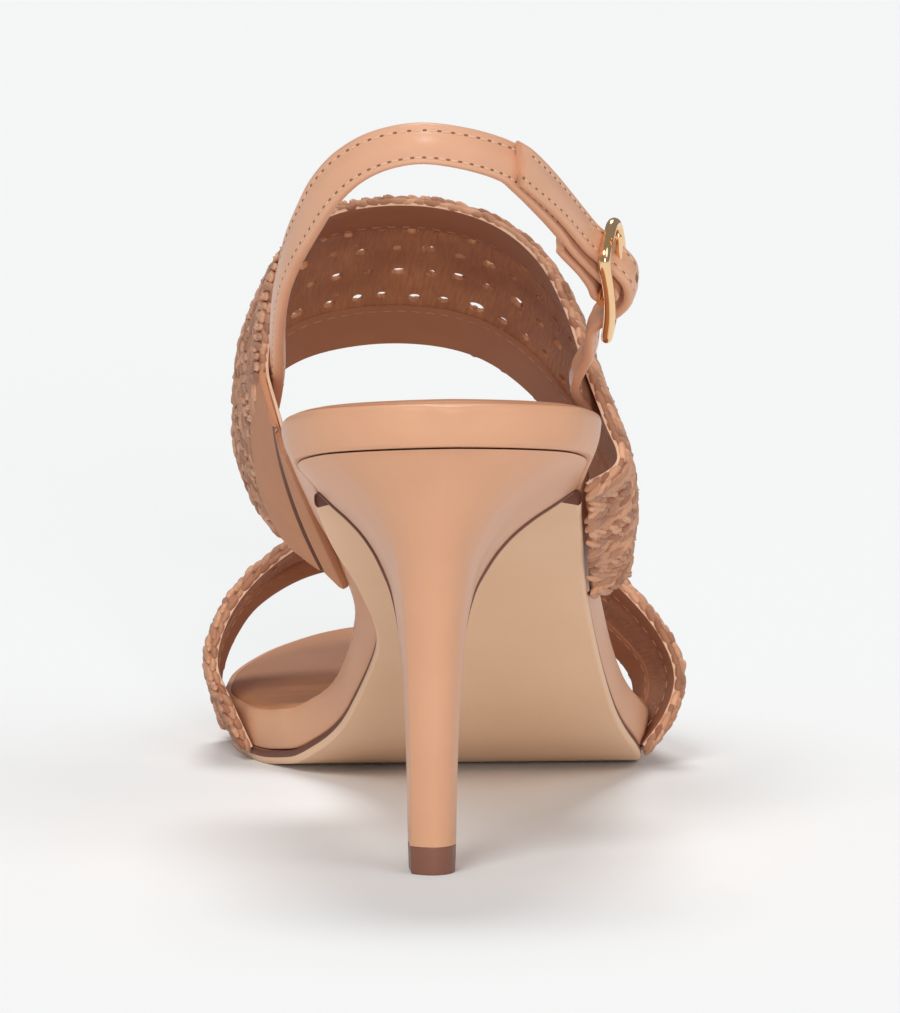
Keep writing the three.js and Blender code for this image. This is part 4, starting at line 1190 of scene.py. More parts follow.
@dataclass
class Heel:
    """Slim covered heel and its top lift, in millimetres.

    Attributes:
        form: The sole.
        finishes: The finishes.
        lift_height: Height of the top lift.
        tip_width: Width of the heel's tip.
        tip_depth: Depth of the heel's tip.
        margin: How far the heel's seat stands in from the rim.
        steps: Steps from a breast corner to the back.
        breast_steps: Steps across the breast.
        back_angle: Station angle of the back, in radians.
        edge_width: Radius of the cover's folded edge.
    """

    form: SoleForm
    finishes: Finishes
    lift_height: float = 5.0
    tip_width: float = 8.2
    tip_depth: float = 9.0
    margin: float = 2.8
    steps: int = 44
    breast_steps: int = 22
    back_angle: float = 0.014
    edge_width: float = 0.42

    def loop(self) -> np.ndarray:
        """Loop round the seat from the inner breast corner, behind the heel, to the outer corner and back.

        Returns:
            Rows of place across, place along, share across and share forward.
        """
        form = self.form
        corner = form.breast - form.clearance
        share = (corner + form.overhang - self.margin) / (form.length - 2 * self.margin)
        corner_angle = math.acos(1 - 2 * share)
        back = form.station(self.back_angle, self.margin)
        inner, outer = (form.edge(corner, side, self.margin, 1) for side in (Side.INNER, Side.OUTER))
        way_back = np.linspace(corner_angle, self.back_angle, self.steps)
        way_out = np.linspace(self.back_angle, corner_angle, self.steps)
        rows = []
        for side, angles in ((Side.INNER, way_back), (Side.OUTER, way_out)):
            y = form.station(angles, self.margin)
            x = form.edge(y, side, self.margin, 1)
            widest = form.edge(form.station(corner_angle, self.margin), side, self.margin, 1)
            wide = abs(widest - form.seat_shift)
            across = side.value * np.minimum(1, side.value * (x - form.seat_shift) / wide)
            rows.append(np.stack([x, y, across, (y - back) / (corner - back)], axis=1))
        across = np.linspace(1, -1, self.breast_steps + 1)[1:-1]
        y = form.breast - form.hollow * (1 - across**2) - form.clearance
        reach = np.where(across < 0, inner - form.seat_shift, outer - form.seat_shift)
        x = form.seat_shift + reach * np.abs(across)
        rows.append(np.stack([x, y, across, np.ones_like(across)], axis=1))
        return np.vstack(rows)

    def ring(self, loop: np.ndarray, up: float) -> np.ndarray:
        """Ring of the heel at a height share.

        Args:
            loop: Loop round the seat.
            up: Share of the heel's height.

        Returns:
            Points of the ring.
        """
        side, back, front = (float(monotone(HEEL_FLARE, i, up)) for i in (1, 2, 3))
        seat = self.form.point(loop[:, 0], loop[:, 1], self.form.outsole)
        drift = back + (front - back) * smoothstep(loop[:, 3], 0, 1)
        x = loop[:, 2] * self.tip_width / 2
        y = (loop[:, 3] - 0.5) * self.tip_depth
        return np.stack([
            x + (seat[:, 0] - x) * side,
            y + (seat[:, 1] - y) * drift,
            self.lift_height + (seat[:, 2] - self.lift_height) * up,
        ], axis=1)

    def cover(self) -> None:
        """The covered heel block."""
        loop = self.loop()
        ups = np.sin(np.linspace(0, math.pi / 2, 72))
        points = np.vstack([self.ring(loop, up) for up in ups])
        faces = loft_faces(len(ups), len(loop))
        points = fan_caps(points, faces, len(loop))
        piece = mesh_piece("heel_cover", points, faces, [self.finishes.cover], sharp=50)
        place_piece(piece, "upper_leather", "heel")

    def breast_edges_painted_shade(self) -> None:
        """Folded edge of the cover along both sides of the breast, dark brown as painted shade of the gap to
        the outsole.
        """
        loop = self.loop()
        low, full, high = 0.62, 0.8, 0.992
        ups = np.linspace(low, high, 60)
        sides = 8
        points, faces, start = [], [], 0
        for corner, beside in ((0, 1), (2 * self.steps - 1, 2 * self.steps - 2)):
            path, neighbour = (np.stack([self.ring(loop, up)[i] for up in ups]) for i in (corner, beside))
            along = unit(np.gradient(path, axis=0))
            side = square_to(neighbour - path, along)
            thick = self.edge_width * smoothstep(ups, low, full) + 0.04
            part = tube_rings(path, side, np.cross(along, side), thick, sides)
            part_faces = loft_faces(len(ups), sides)
            part = fan_caps(part, part_faces, sides)
            faces += [tuple(start + i for i in face) for face in part_faces]
            points.append(part)
            start += len(part)
        # Painted shade: dark brown tubes stand for the shadowed gap between the cover's edge and the outsole,
        # thicker toward the top of the arch.
        piece = mesh_piece("heel_cover_edges", np.vstack(points), faces, [self.finishes.edge_paint_and_shade])
        place_piece(piece, "upper_leather")

    def top_lift(self) -> None:
        """Heel tip with a slight taper and a fine joint line."""
        loop = self.loop()
        top, height = self.ring(loop, 0), self.lift_height
        levels = (
            (0, 0.93), (0.25, 0.96), (0.5, 0.965), (height - 0.4, 1.0), (height - 0.15, 1.0), (height, 0.985),
        )
        points = np.vstack([top * (scale, scale, 0) + (0, 0, z) for z, scale in levels])
        faces = loft_faces(len(levels), len(loop))
        points = fan_caps(points, faces, len(loop))
        piece = mesh_piece("heel_tip", points, faces, [self.finishes.top_lift], sharp=50)
        place_piece(piece, "top_lift_plastic", "top_lift")


# Bands


@dataclass
class WovenBand:
    """Band over the foot: lining strips, pierced wall and crocheted loops.

    Attributes:
        name: Name of the band's node.
        form: The sole that it stands on.
        finishes: The finishes.
        rear: Table of its rear edge.
        front: Table of its front edge.
        centre: Place of its middle across the foot, in millimetres.
        span: Its span across the foot.
        rise: Its rise above the footbed.
        feet: Shares of the sole's length of its ends: rear inner, front inner, rear outer, front outer.
        tuck: Height of its inner end above the footbed's lower face.
        crown: How far its middle stands out.
        columns: Cells round the foot.
        cells: Cells across the band between its plaits.
        period: Cells from gap to gap.
        linings: Shares of the width that the rear and front lining strips take.
        bare_end: Share round the foot at the inner end that smooth leather covers.
        start: Share round the foot at which wall and lining start.
        between: Whether smaller gaps stand between the gaps of a row.
        wall: Depth of the wall's outer face.
        braid: Width of the plait along an edge.
        gap_radius: Radius of a gap.
        gap_drift: Largest drift of a gap off its place.
        mesh_size: Width of a cell of the wall's mesh.
        plait_loop: Length, width and height of a loop in the plaits.
        row_loop: The same for the rows between.
        plait_pitch: Distance from loop to loop in the plaits.
        row_pitch: The same for the rows between.
    """

    name: str
    form: SoleForm
    finishes: Finishes
    rear: np.ndarray
    front: np.ndarray
    centre: float
    span: float
    rise: float
    feet: tuple[float, float, float, float]
    tuck: float
    crown: float
    columns: int
    cells: int
    period: int
    linings: tuple[float, float]
    bare_end: float = 0.0
    start: float = 0.0
    between: bool = False
    wall: float = 1.5
    braid: float = 6.5
    gap_radius: float = 1.2
    gap_drift: float = 0.6
    mesh_size: float = 0.8
    plait_loop: tuple[float, float, float] = (4.0, 1.5, 1.6)
    row_loop: tuple[float, float, float] = (3.6, 1.3, 1.5)
    plait_pitch: float = 2.1
    row_pitch: float = 2.05

    def __post_init__(self) -> None:
        """Works out the surface as a fine grid of points and normals."""
        rear_inner, front_inner, rear_outer, front_outer = self.feet
        self.rear_curve = self.curve(self.rear, rear_inner, rear_outer)
        self.front_curve = self.curve(self.front, front_inner, front_outer)
        self.grid_u = np.linspace(0, 1, 361)
        self.grid_v = np.linspace(0, 1, 61)
        rear, front = self.rear_curve.at(self.grid_u), self.front_curve.at(self.grid_u)
        self.width = float(np.linalg.norm(rear[180] - front[180]))
        self.arc = (self.rear_curve.length + self.front_curve.length) / 2
        v = self.grid_v[None, :, None]
        flat = rear[:, None] * (1 - v) + front[:, None] * v
        flat_normal = unit(np.cross(np.gradient(flat, axis=0), np.gradient(flat, axis=1)))
        fade = smoothstep(np.minimum(self.grid_u, 1 - self.grid_u), 0, 0.12)[:, None, None]
        self.surface = flat + flat_normal * self.crown * 4 * v * (1 - v) * fade
        self.normals = unit(np.cross(np.gradient(self.surface, axis=0), np.gradient(self.surface, axis=1)))

    def curve(self, rows: np.ndarray, inner: float, outer: float) -> SmoothCurve:
        """Edge curve of the band with its ends on the rim.

        Args:
            rows: Table of the edge.
            inner: Share of the sole's length of its inner end.
            outer: Share of the sole's length of its outer end.

        Returns:
            The curve.
        """
        form = self.form

        def rim_point(along: float, side: Side, height: float) -> np.ndarray:
            """Place beside the rim."""
            y = form.place_along(along)
            share = np.clip((form.footbed_top - height) / form.footbed, 0, 1)
            edge = form.edge(y, side, form.bevel * share * share, share)
            return form.point(edge + side.value * form.clearance, y, height)

        y = form.place_along(rows[:, 1])
        x = self.centre + rows[:, 0] * self.span / 2
        points = np.stack([x, y, form.above(y) + rows[:, 2] * self.rise], axis=1)
        start = rim_point(inner, Side.INNER, form.footbed_base + self.tuck)
        end = rim_point(outer, Side.OUTER, form.footbed_base)
        return SmoothCurve(np.vstack([start, points, end]))

    def read(self, grid: np.ndarray, u: np.ndarray, v: np.ndarray) -> np.ndarray:
        """Reads a grid between its points, and straight on past its edges.

        Args:
            grid: Points or directions round and across the band.
            u: Shares round the foot.
            v: Shares across the band.

        Returns:
            The grid's values there.
        """
        fu, fv = u * (len(self.grid_u) - 1), v * (len(self.grid_v) - 1)
        i = np.clip(np.floor(fu).astype(int), 0, len(self.grid_u) - 2)
        j = np.clip(np.floor(fv).astype(int), 0, len(self.grid_v) - 2)
        s, t = (fu - i)[..., None], (fv - j)[..., None]
        low = grid[i, j] * (1 - s) + grid[i + 1, j] * s
        high = grid[i, j + 1] * (1 - s) + grid[i + 1, j + 1] * s
        return low * (1 - t) + high * t

    def place(self, u: np.ndarray, v: np.ndarray, depth: np.ndarray | float) -> np.ndarray:
        """Points at a depth outside the inner face.

        Args:
            u: Shares round the foot, from the inner side.
            v: Shares across the band, from its rear edge.
            depth: Distance outwards in millimetres.

        Returns:
            Points in millimetres.
        """
        u, v, depth = np.broadcast_arrays(*(np.asarray(value, float) for value in (u, v, depth)))
        return self.read(self.surface, u, v) + self.normal(u, v) * depth[..., None]

    def normal(self, u: np.ndarray, v: np.ndarray) -> np.ndarray:
        """Outward directions."""
        u, v = np.broadcast_arrays(np.asarray(u, float), np.asarray(v, float))
        return unit(self.read(self.normals, np.clip(u, 0, 1), np.clip(v, 0, 1)))

    def heading(self, u: np.ndarray, v: np.ndarray, turn: np.ndarray | float) -> np.ndarray:
        """Directions on the surface, turned from the way round the foot toward the front edge.

        Args:
            u: Shares round the foot.
            v: Shares across the band.
            turn: Turns in radians.

        Returns:
            Directions of length one.
        """
        u, v = np.broadcast_arrays(np.asarray(u, float), np.asarray(v, float))
        step = 0.004
        round_way = unit(self.read(self.surface, u + step, v) - self.read(self.surface, u - step, v))
        normal = self.normal(u, v)
        across = unit(np.cross(normal, round_way))
        forward = self.read(self.surface, u, v + step) - self.read(self.surface, u, v - step)
        across = across * np.sign(np.sum(across * forward, axis=-1, keepdims=True))
        turn = np.broadcast_to(turn, u.shape)[..., None]
        return round_way * np.cos(turn) + across * np.sin(turn)

    def gaps(self) -> np.ndarray:
        """Middles of the gaps, as shares round and across the band, with their radius.

        Returns:
            Rows of share round, share across and radius.
        """
        centre = round(self.columns / 2)
        reach = math.floor(self.columns * 0.3)
        braid = self.braid / self.width
        rows = []
        for row in range(1, self.cells - 1, 2):
            offset = 0 if row % 4 == 1 else self.period // 2
            for column in range(centre - reach + offset, centre + reach, self.period):
                u = (column + 0.5) / self.columns
                v = braid + (1 - 2 * braid) * (row + 0.5) / self.cells
                rows.append((u, v, self.gap_radius))
                if self.between and column + self.period < centre + reach:
                    rows.append(((column + 0.5 + self.period / 2) / self.columns, v, 0.8 * self.gap_radius))
        gaps = np.array(rows)
        rng = np.random.default_rng(GAP_SEED)
        drift = rng.uniform(-self.gap_drift, self.gap_drift, (len(gaps), 2))
        gaps[:, :2] += drift / (self.arc, self.width)
        return gaps

    def pierced_wall(self) -> None:
        """Back of the crochet: one wall with its gaps cut through."""
        columns, rows = round(self.arc / self.mesh_size), round(self.width / self.mesh_size)
        u, v = np.meshgrid(
            np.linspace(self.start, 1, columns + 1), np.linspace(0.012, 0.988, rows + 1), indexing="ij"
        )
        cell_u, cell_v = ((grid[:-1, :-1] + grid[1:, 1:]) / 2 for grid in (u, v))
        open_cell = np.zeros(cell_u.shape, bool)
        rng = np.random.default_rng(SEED)
        for gap_u, gap_v, radius in self.gaps():
            wide = radius * rng.uniform(0.8, 1.3) / self.arc
            tall = radius * rng.uniform(0.8, 1.2) / self.width
            inside = np.hypot((cell_u - gap_u) / wide, (cell_v - gap_v) / tall) < 1
            touched = np.zeros(u.shape, bool)
            for a in (0, 1):
                for b in (0, 1):
                    touched[a : columns + a, b : rows + b] |= inside
            far = np.hypot((u - gap_u) / wide, (v - gap_v) / tall)
            ring = touched & (far > 0.3)
            u[ring] = gap_u + (u[ring] - gap_u) / far[ring]
            v[ring] = gap_v + (v[ring] - gap_v) / far[ring]
            open_cell |= inside
        depths = np.array([0.5, self.wall])
        points = self.place(u[..., None], v[..., None], depths).reshape(-1, 3)
        flat = np.stack([u * self.arc * MM, v * self.width * MM], axis=-1)
        uv = np.repeat(flat[:, :, None], 2, axis=2).reshape(-1, 2)
        index = np.arange(u.size * 2).reshape(columns + 1, rows + 1, 2)
        faces, edges = [], []
        for i, j in zip(*np.nonzero(~open_cell)):
            low = [int(index[a, b, 0]) for a, b in ((i, j), (i + 1, j), (i + 1, j + 1), (i, j + 1))]
            faces.append(tuple(k + 1 for k in low))
            faces.append(tuple(reversed(low)))
            edges += zip(low, low[1:] + low[:1])
        present = set(edges)
        for start, end in edges:
            if (end, start) not in present:
                faces.append((end + 1, start + 1, start, end))
        piece = mesh_piece(self.name + "_crochet_back", points, faces, [self.finishes.yarn_back], uv=uv)
        place_piece(piece, "woven_raffia", self.name)

    def loops(self, templates: Templates, tree: bpy.types.NodeTree) -> None:
        """Crocheted loops on the outer side: plaits at the edges, rows with gaps between.

        Args:
            templates: The small shapes.
            tree: The scatter tree.
        """
        rows = Repeats()
        gaps = self.gaps()
        braid = self.braid / self.width
        cell = (1 - 2 * braid) / self.cells
        under_leather, push_margin, kept_margin, middle = 0.012, 1.15, 0.6, 0.35
        first = max(self.bare_end - under_leather, 0.0)

        def line(
            v: float, pitch: float, turn: float, depth: float, size: tuple[float, float, float], shift: float
        ) -> None:
            """Line of loops round the foot, pushed aside by the gaps and left out inside them.

            Args:
                v: Share across the band.
                pitch: Distance from loop to loop.
                turn: Turn of the loops in radians.
                depth: Depth of the loops' middles.
                size: Length, width and height of a loop.
                shift: Shift along the line, as a share of the pitch.
            """
            count = max(4, round(self.arc * (1 - first) / pitch))
            u = first + (1 - first) * (np.arange(count) + 0.5 + shift) / count
            u = u[u < 1]
            vs = np.full_like(u, v)
            clear = np.ones(len(u), bool)
            for gap_u, gap_v, radius in gaps:
                du, dv = (u - gap_u) * self.arc, (vs - gap_v) * self.width
                far = np.hypot(du, dv)
                push = np.clip(radius + push_margin - far, 0, None) * 0.8
                u = u + push * du / np.maximum(far, 0.2) / self.arc
                vs = vs + push * dv / np.maximum(far, 0.2) / self.width
                clear &= far > middle
            for gap_u, gap_v, radius in gaps:
                far = np.hypot((u - gap_u) * self.arc, (vs - gap_v) * self.width)
                clear &= far > radius + kept_margin
            u, vs = u[clear], vs[clear]
            rows.add(self.place(u, vs, depth), self.heading(u, vs, turn), self.normal(u, vs), size)

        for edge, way in ((0.0, 1.0), (1.0, -1.0)):
            for off, depth, turn, shift in PLAIT_LINES:
                v = edge + way * off / self.width
                line(v, self.plait_pitch, way * turn, depth, self.plait_loop, shift)
        for row in range(self.cells):
            v = braid + cell * (row + 0.5)
            lean = 0.95 if row % 4 < 2 else -0.95
            turn = lean if row % 2 else -lean * 0.7
            for part, depth, shift in ROW_LINES:
                line(v + part * cell, self.row_pitch, turn, depth, self.row_loop, shift)
        piece = rows.piece(
            self.name + "_crochet_loops", templates.loop, self.finishes.raffia, tree, tilt=0.22, swell=0.16
        )
        place_piece(piece, "woven_raffia")

    def strip(self, name: str, section: list[tuple[float, float]], pale: set[int]) -> bpy.types.Object:
        """Leather strip round the foot.

        Args:
            name: Object name.
            section: Share across and depth of each point of its closed outline.
            pale: Numbers of the outline's sides that show the cut edge.

        Returns:
            The strip.
        """
        u = np.linspace(self.start, 1, 220)
        outline = np.array(section)
        points = self.place(u[:, None], outline[None, :, 0], outline[None, :, 1]).reshape(-1, 3)
        count = len(section)
        faces = loft_faces(len(u), count)
        slots = [1 if i % count in pale else 0 for i in range(len(faces))]
        points = fan_caps(points, faces, count)
        slots += [0] * (len(faces) - len(slots))
        finishes = [self.finishes.lining, self.finishes.cut_edge]
        return mesh_piece(name, points, faces, finishes, slots)

    def lining_strips(self) -> None:
        """Smooth lining strips inside both edges, pale where the leather is cut."""
        rear, front = self.linings
        for name, edge, way, reach in (("rear", 0.0, 1.0, rear), ("front", 1.0, -1.0, front)):
            start, stop = edge - way * 0.3 / self.width, edge + way * reach
            inner = [start + (stop - start) * t for t in (0.03, 0.3, 0.6, 0.97)]
            section = [(start, 0.12)]
            section += [(v, 0.0) for v in inner]
            section += [(stop, 0.15), (stop, 0.6)]
            section += [(v, 0.85) for v in reversed(inner)]
            section += [(start, 0.62)]
            piece = self.strip(f"{self.name}_{name}_lining", section, {len(section) - 1})
            place_piece(piece, "woven_raffia")

    def lining_seams(self, templates: Templates, tree: bpy.types.NodeTree) -> None:
        """Seams along the inner edges of the lining strips.

        Args:
            templates: The small shapes.
            tree: The scatter tree.
        """
        seams = Repeats()
        pitch, margin = 2.6, 1.1
        count = round(self.arc / pitch)
        u = self.start + (1 - self.start) * (np.arange(count) + 0.5) / count
        rear, front = self.linings
        for v in (rear - margin / self.width, 1 - front + margin / self.width):
            places = self.place(u, v, -0.03)
            seams.add(places, self.heading(u, v, 0), -self.normal(u, v), (1.7, 0.38, 0.28))
        piece = seams.piece(
            self.name + "_lining_seams", templates.thread, self.finishes.lining_thread, tree, tilt=0.05
        )
        place_piece(piece, "woven_raffia")

    def leather_end(self) -> None:
        """Smooth leather that covers the band's inner end down to the rim, with a groove and a flap; the
        leather is darkened and the groove painted dark brown, both as painted shade.
        """
        v = np.linspace(-0.012, 1.012, 90)
        low, high = self.start, self.bare_end
        outline = np.array([
            (low + 0.014, -0.15), (low, -0.12), (low - 0.002, 0.5), (low - 0.001, 1.4), (low + 0.004, 1.8),
            (low + 0.028, 1.95), (low + 0.031, 1.3), (low + 0.034, 1.3), (low + 0.037, 2.05),
            (low + 0.042, 2.2), (low + 0.06, 2.15), (high - 0.05, 2.12), (high - 0.03, 2.1),
            (high - 0.01, 2.0), (high, 1.8), (high + 0.001, 1.2), (low + 0.03, 0.9), (low + 0.014, 0.86),
        ])
        # Faces of the groove take the dark brown edge colour as painted shade in the recess.
        groove = (5, 6, 7)
        flap = 1 + 0.09 * np.clip((high - outline[:, 0]) / (high - low), 0, 1)
        column = v[:, None]
        across = np.where(column > 0.5, 0.5 + (column - 0.5) * (2 * flap[None, :] - 1), column)
        points = self.place(outline[None, :, 0], across, outline[None, :, 1]).reshape(-1, 3)
        faces = loft_faces(len(v), len(outline))
        slots = [1 if i % len(outline) in groove else 0 for i in range(len(faces))]
        points = fan_caps(points, faces, len(outline))
        slots += [0] * (len(faces) - len(slots))
        finishes = [self.finishes.shaded_facing, self.finishes.edge_paint_and_shade]
        piece = mesh_piece(self.name + "_leather_end", points, faces, finishes, slots)
        place_piece(piece, "upper_leather")

    def dress(self, templates: Templates, tree: bpy.types.NodeTree) -> None:
        """Builds the whole band.

        Args:
            templates: The small shapes.
            tree: The scatter tree.
        """
        self.pierced_wall()
        self.loops(templates, tree)
        self.lining_strips()
        self.lining_seams(templates, tree)
        if self.bare_end:
            self.leather_end()


# Straps and buckle


@dataclass
class BucklePlace:
    """The buckle's own place and directions, and the straps' courses through it.

    Attributes:
        form: The sole that the ankle loop is measured from.
        length: Length of the buckle in millimetres.
        width: Width of the buckle.
        rail: Thickness of its rails.
        bar: Thickness of its centre bar.
        prong: Thickness of its prong.
        rise: Angle of its length to the floor, in radians.
        lean: Lean to the inner side.
        turn: Turn of its face.
        setback: How far the rails stand out from the bar.
        bow: How far the rails' ends bow back.
        loop_width: Width of the ankle loop.
        loop_depth: Depth of the ankle loop.
        loop_back: How far the loop reaches behind the heel tip's middle.
        loop_rise: Rise of the loop above the seat's back edge.
    """

    form: SoleForm
    length: float = 24.0
    width: float = 13.0
    rail: float = 2.1
    bar: float = 1.8
    prong: float = 1.2
    rise: float = math.radians(47)
    lean: float = math.radians(4.5)
    turn: float = math.radians(14)
    setback: float = 1.5
    bow: float = 1.05
    loop_width: float = 52.0
    loop_depth: float = 48.5
    loop_back: float = 14.5
    loop_rise: float = 44.0

    def __post_init__(self) -> None:
        """Works out the buckle's directions."""
        self.centre = self.loop_points(np.array([BUCKLE_PLACE]))[0]
        upright = math.cos(self.lean)
        self.up = np.array([
            -math.sin(self.lean), -upright * math.cos(self.rise), upright * math.sin(self.rise),
        ])
        flat = square_to(np.array([1.0, 0, 0]), self.up)
        self.out = flat * math.cos(self.turn) - np.cross(self.up, flat) * math.sin(self.turn)
        self.across = np.cross(self.up, self.out)

    def loop_points(self, rows: np.ndarray) -> np.ndarray:
        """Points of the ankle loop.

        Args:
            rows: Shares of the loop's half width, depth and rise.

        Returns:
            Points.
        """
        seat = self.form.point(np.array(0.0), np.array(-self.form.overhang), self.form.footbed_top)[2]
        return np.stack([
            rows[:, 0] * self.loop_width / 2,
            rows[:, 1] * self.loop_depth - self.loop_back,
            seat + rows[:, 2] * self.loop_rise,
        ], axis=1)

    def local(
        self, up: np.ndarray | float, across: np.ndarray | float, out: np.ndarray | float
    ) -> np.ndarray:
        """Points in the buckle's own directions."""
        up, across, out = (np.asarray(value, float)[..., None] for value in (up, across, out))
        return self.centre + up * self.up + across * self.across + out * self.out

    def course(self, rows: tuple[tuple[float, float, float], ...]) -> np.ndarray:
        """Points of a course."""
        table = np.array(rows) * self.length
        return self.local(table[:, 0], table[:, 2], table[:, 1])


@dataclass
class Strap:
    """Flat leather strap along a curve.

    Attributes:
        name: Object name.
        curve: Its centre line.
        buckle: The buckle that it passes.
        width: Width in millimetres.
        thickness: Thickness at its start.
        run: Which way it runs past the buckle.
        slant: How far its end is cut on the slant.
        skive: Shares of the length between which it thins, and the thin end's thickness.
        ankle_axis: Place of the ankle's axis along the foot, which the strap faces away from.
        dome: How far the middle of each face stands up, as a share of the thickness.
        margin: Distance of a seam from the edge.
        pitch: Distance from stitch to stitch.
        stitch: Length, width and height of a stitch.
        prick: The same for a needle prick.
    """

    name: str
    curve: SmoothCurve
    buckle: BucklePlace
    width: float
    thickness: float
    run: Run
    slant: float = 0.0
    skive: tuple[float, float, float] | None = None
    ankle_axis: float = 14.5
    dome: float = 0.2
    margin: float = 1.25
    pitch: float = 2.2
    stitch: tuple[float, float, float] = (1.35, 0.42, 0.34)
    prick: tuple[float, float, float] = (0.75, 0.5, 0.16)

    def thick(self, share: np.ndarray) -> np.ndarray:
        """Thickness at shares of the length."""
        if self.skive is None:
            return np.full_like(share, self.thickness)
        start, end, thin = self.skive
        return self.thickness + (thin - self.thickness) * smoothstep(share, start, end)

    def frame(self, share: np.ndarray) -> tuple[np.ndarray, np.ndarray, np.ndarray, np.ndarray]:
        """Place and directions of the strap.

        Args:
            share: Shares of the length.

        Returns:
            Centres, directions along, side directions and directions out of the face.
        """
        buckle = self.buckle
        centre = self.curve.at(share)
        along = self.curve.tangent(share)
        away = np.stack([
            centre[..., 0], np.minimum(0, centre[..., 1] - self.ankle_axis), np.zeros(centre.shape[:-1]),
        ], axis=-1)
        far = np.linalg.norm(centre - buckle.centre, axis=-1)
        near = (1 - smoothstep(far, buckle.length * 0.65, buckle.length * 1.5))[..., None]
        square = unit(np.cross(buckle.across, along) * self.run.value)
        face = unit(square_to(unit(away), along) * (1 - near) + square * near)
        side = unit(np.cross(along, face))
        return centre, along, side, face

    def body(self, finish: bpy.types.Material, steps: int) -> bpy.types.Object:
        """The strap's leather, with rounded edges.

        Args:
            finish: Its material.
            steps: Steps along it.

        Returns:
            The leather.
        """
        share = np.linspace(0, 1, steps + 1)
        thick = self.thick(share)
        corner = [(0, 0.5), (0.12, 0.22), (0.32, 0.06), (0.55, 0.0)]
        half, domed = self.width / 2, 0.6
        top = [(a - half, 0.5 - b) for a, b in corner]
        for flat in (-0.8, -0.6, -0.42, -0.2, 0.0, 0.2, 0.42, 0.6, 0.8):
            top.append((flat * half, 0.5 + self.dome * max(0.0, 1 - (flat / domed) ** 2)))
        top += [(half - a, 0.5 - b) for a, b in reversed(corner)]
        bottom = [(-x, -z) for x, z in top]
        outline = top[:-1] + bottom[:-1]
        across, level = np.array(outline).T
        slide = 0 * share
        if self.slant:
            slide = self.slant * smoothstep(share, 1 - 3 * self.slant / self.curve.length, 1)
        back = slide[:, None] * (half - across[None, :]) / self.width / self.curve.length
        place = np.maximum(share[:, None] - back, 0)
        centre, _, side, face = self.frame(place)
        points = centre + side * across[None, :, None] + face * (level[None, :] * thick[:, None])[..., None]
        count = len(outline)
        points = points.reshape(-1, 3)
        faces = loft_faces(steps + 1, count)
        points = fan_caps(points, faces, count)
        return mesh_piece(self.name, points, faces, [finish], sharp=60)

    def seam(
        self,
        templates: Templates,
        finishes: Finishes,
        tree: bpy.types.NodeTree,
        span: tuple[float, float],
        both: bool,
    ) -> None:
        """Rows of stitches near both edges, with a prick at each end of a stitch.

        Args:
            templates: The small shapes.
            finishes: The finishes.
            tree: The scatter tree.
            span: Shares of the length between which the seam runs.
            both: Whether the inner face shows stitches too.
        """
        threads, pricks = Repeats(), Repeats()
        count = round((span[1] - span[0]) * self.curve.length / self.pitch)
        share = span[0] + (span[1] - span[0]) * (np.arange(count) + 0.5) / count
        half_step = self.pitch / self.curve.length / 2
        for edge in (-1, 1):
            shift = edge * (self.width / 2 - self.margin)
            for way in (1, -1) if both else (1,):
                for row, off, sunk, size in (
                    (threads, 0.0, 0.0, self.stitch), (pricks, half_step, 0.02, self.prick),
                ):
                    centre, along, side, face = self.frame(share + off)
                    lift = way * (self.thick(share)[:, None] / 2 - sunk)
                    row.add(centre + side * shift + face * lift, along, face * way, size)
        seam = threads.piece(self.name + "_seams", templates.thread, finishes.thread, tree, tilt=0.06)
        place_piece(seam, "upper_leather")
        holes = pricks.piece(self.name + "_pricks", templates.prick, finishes.prick, tree)
        place_piece(holes, "upper_leather")


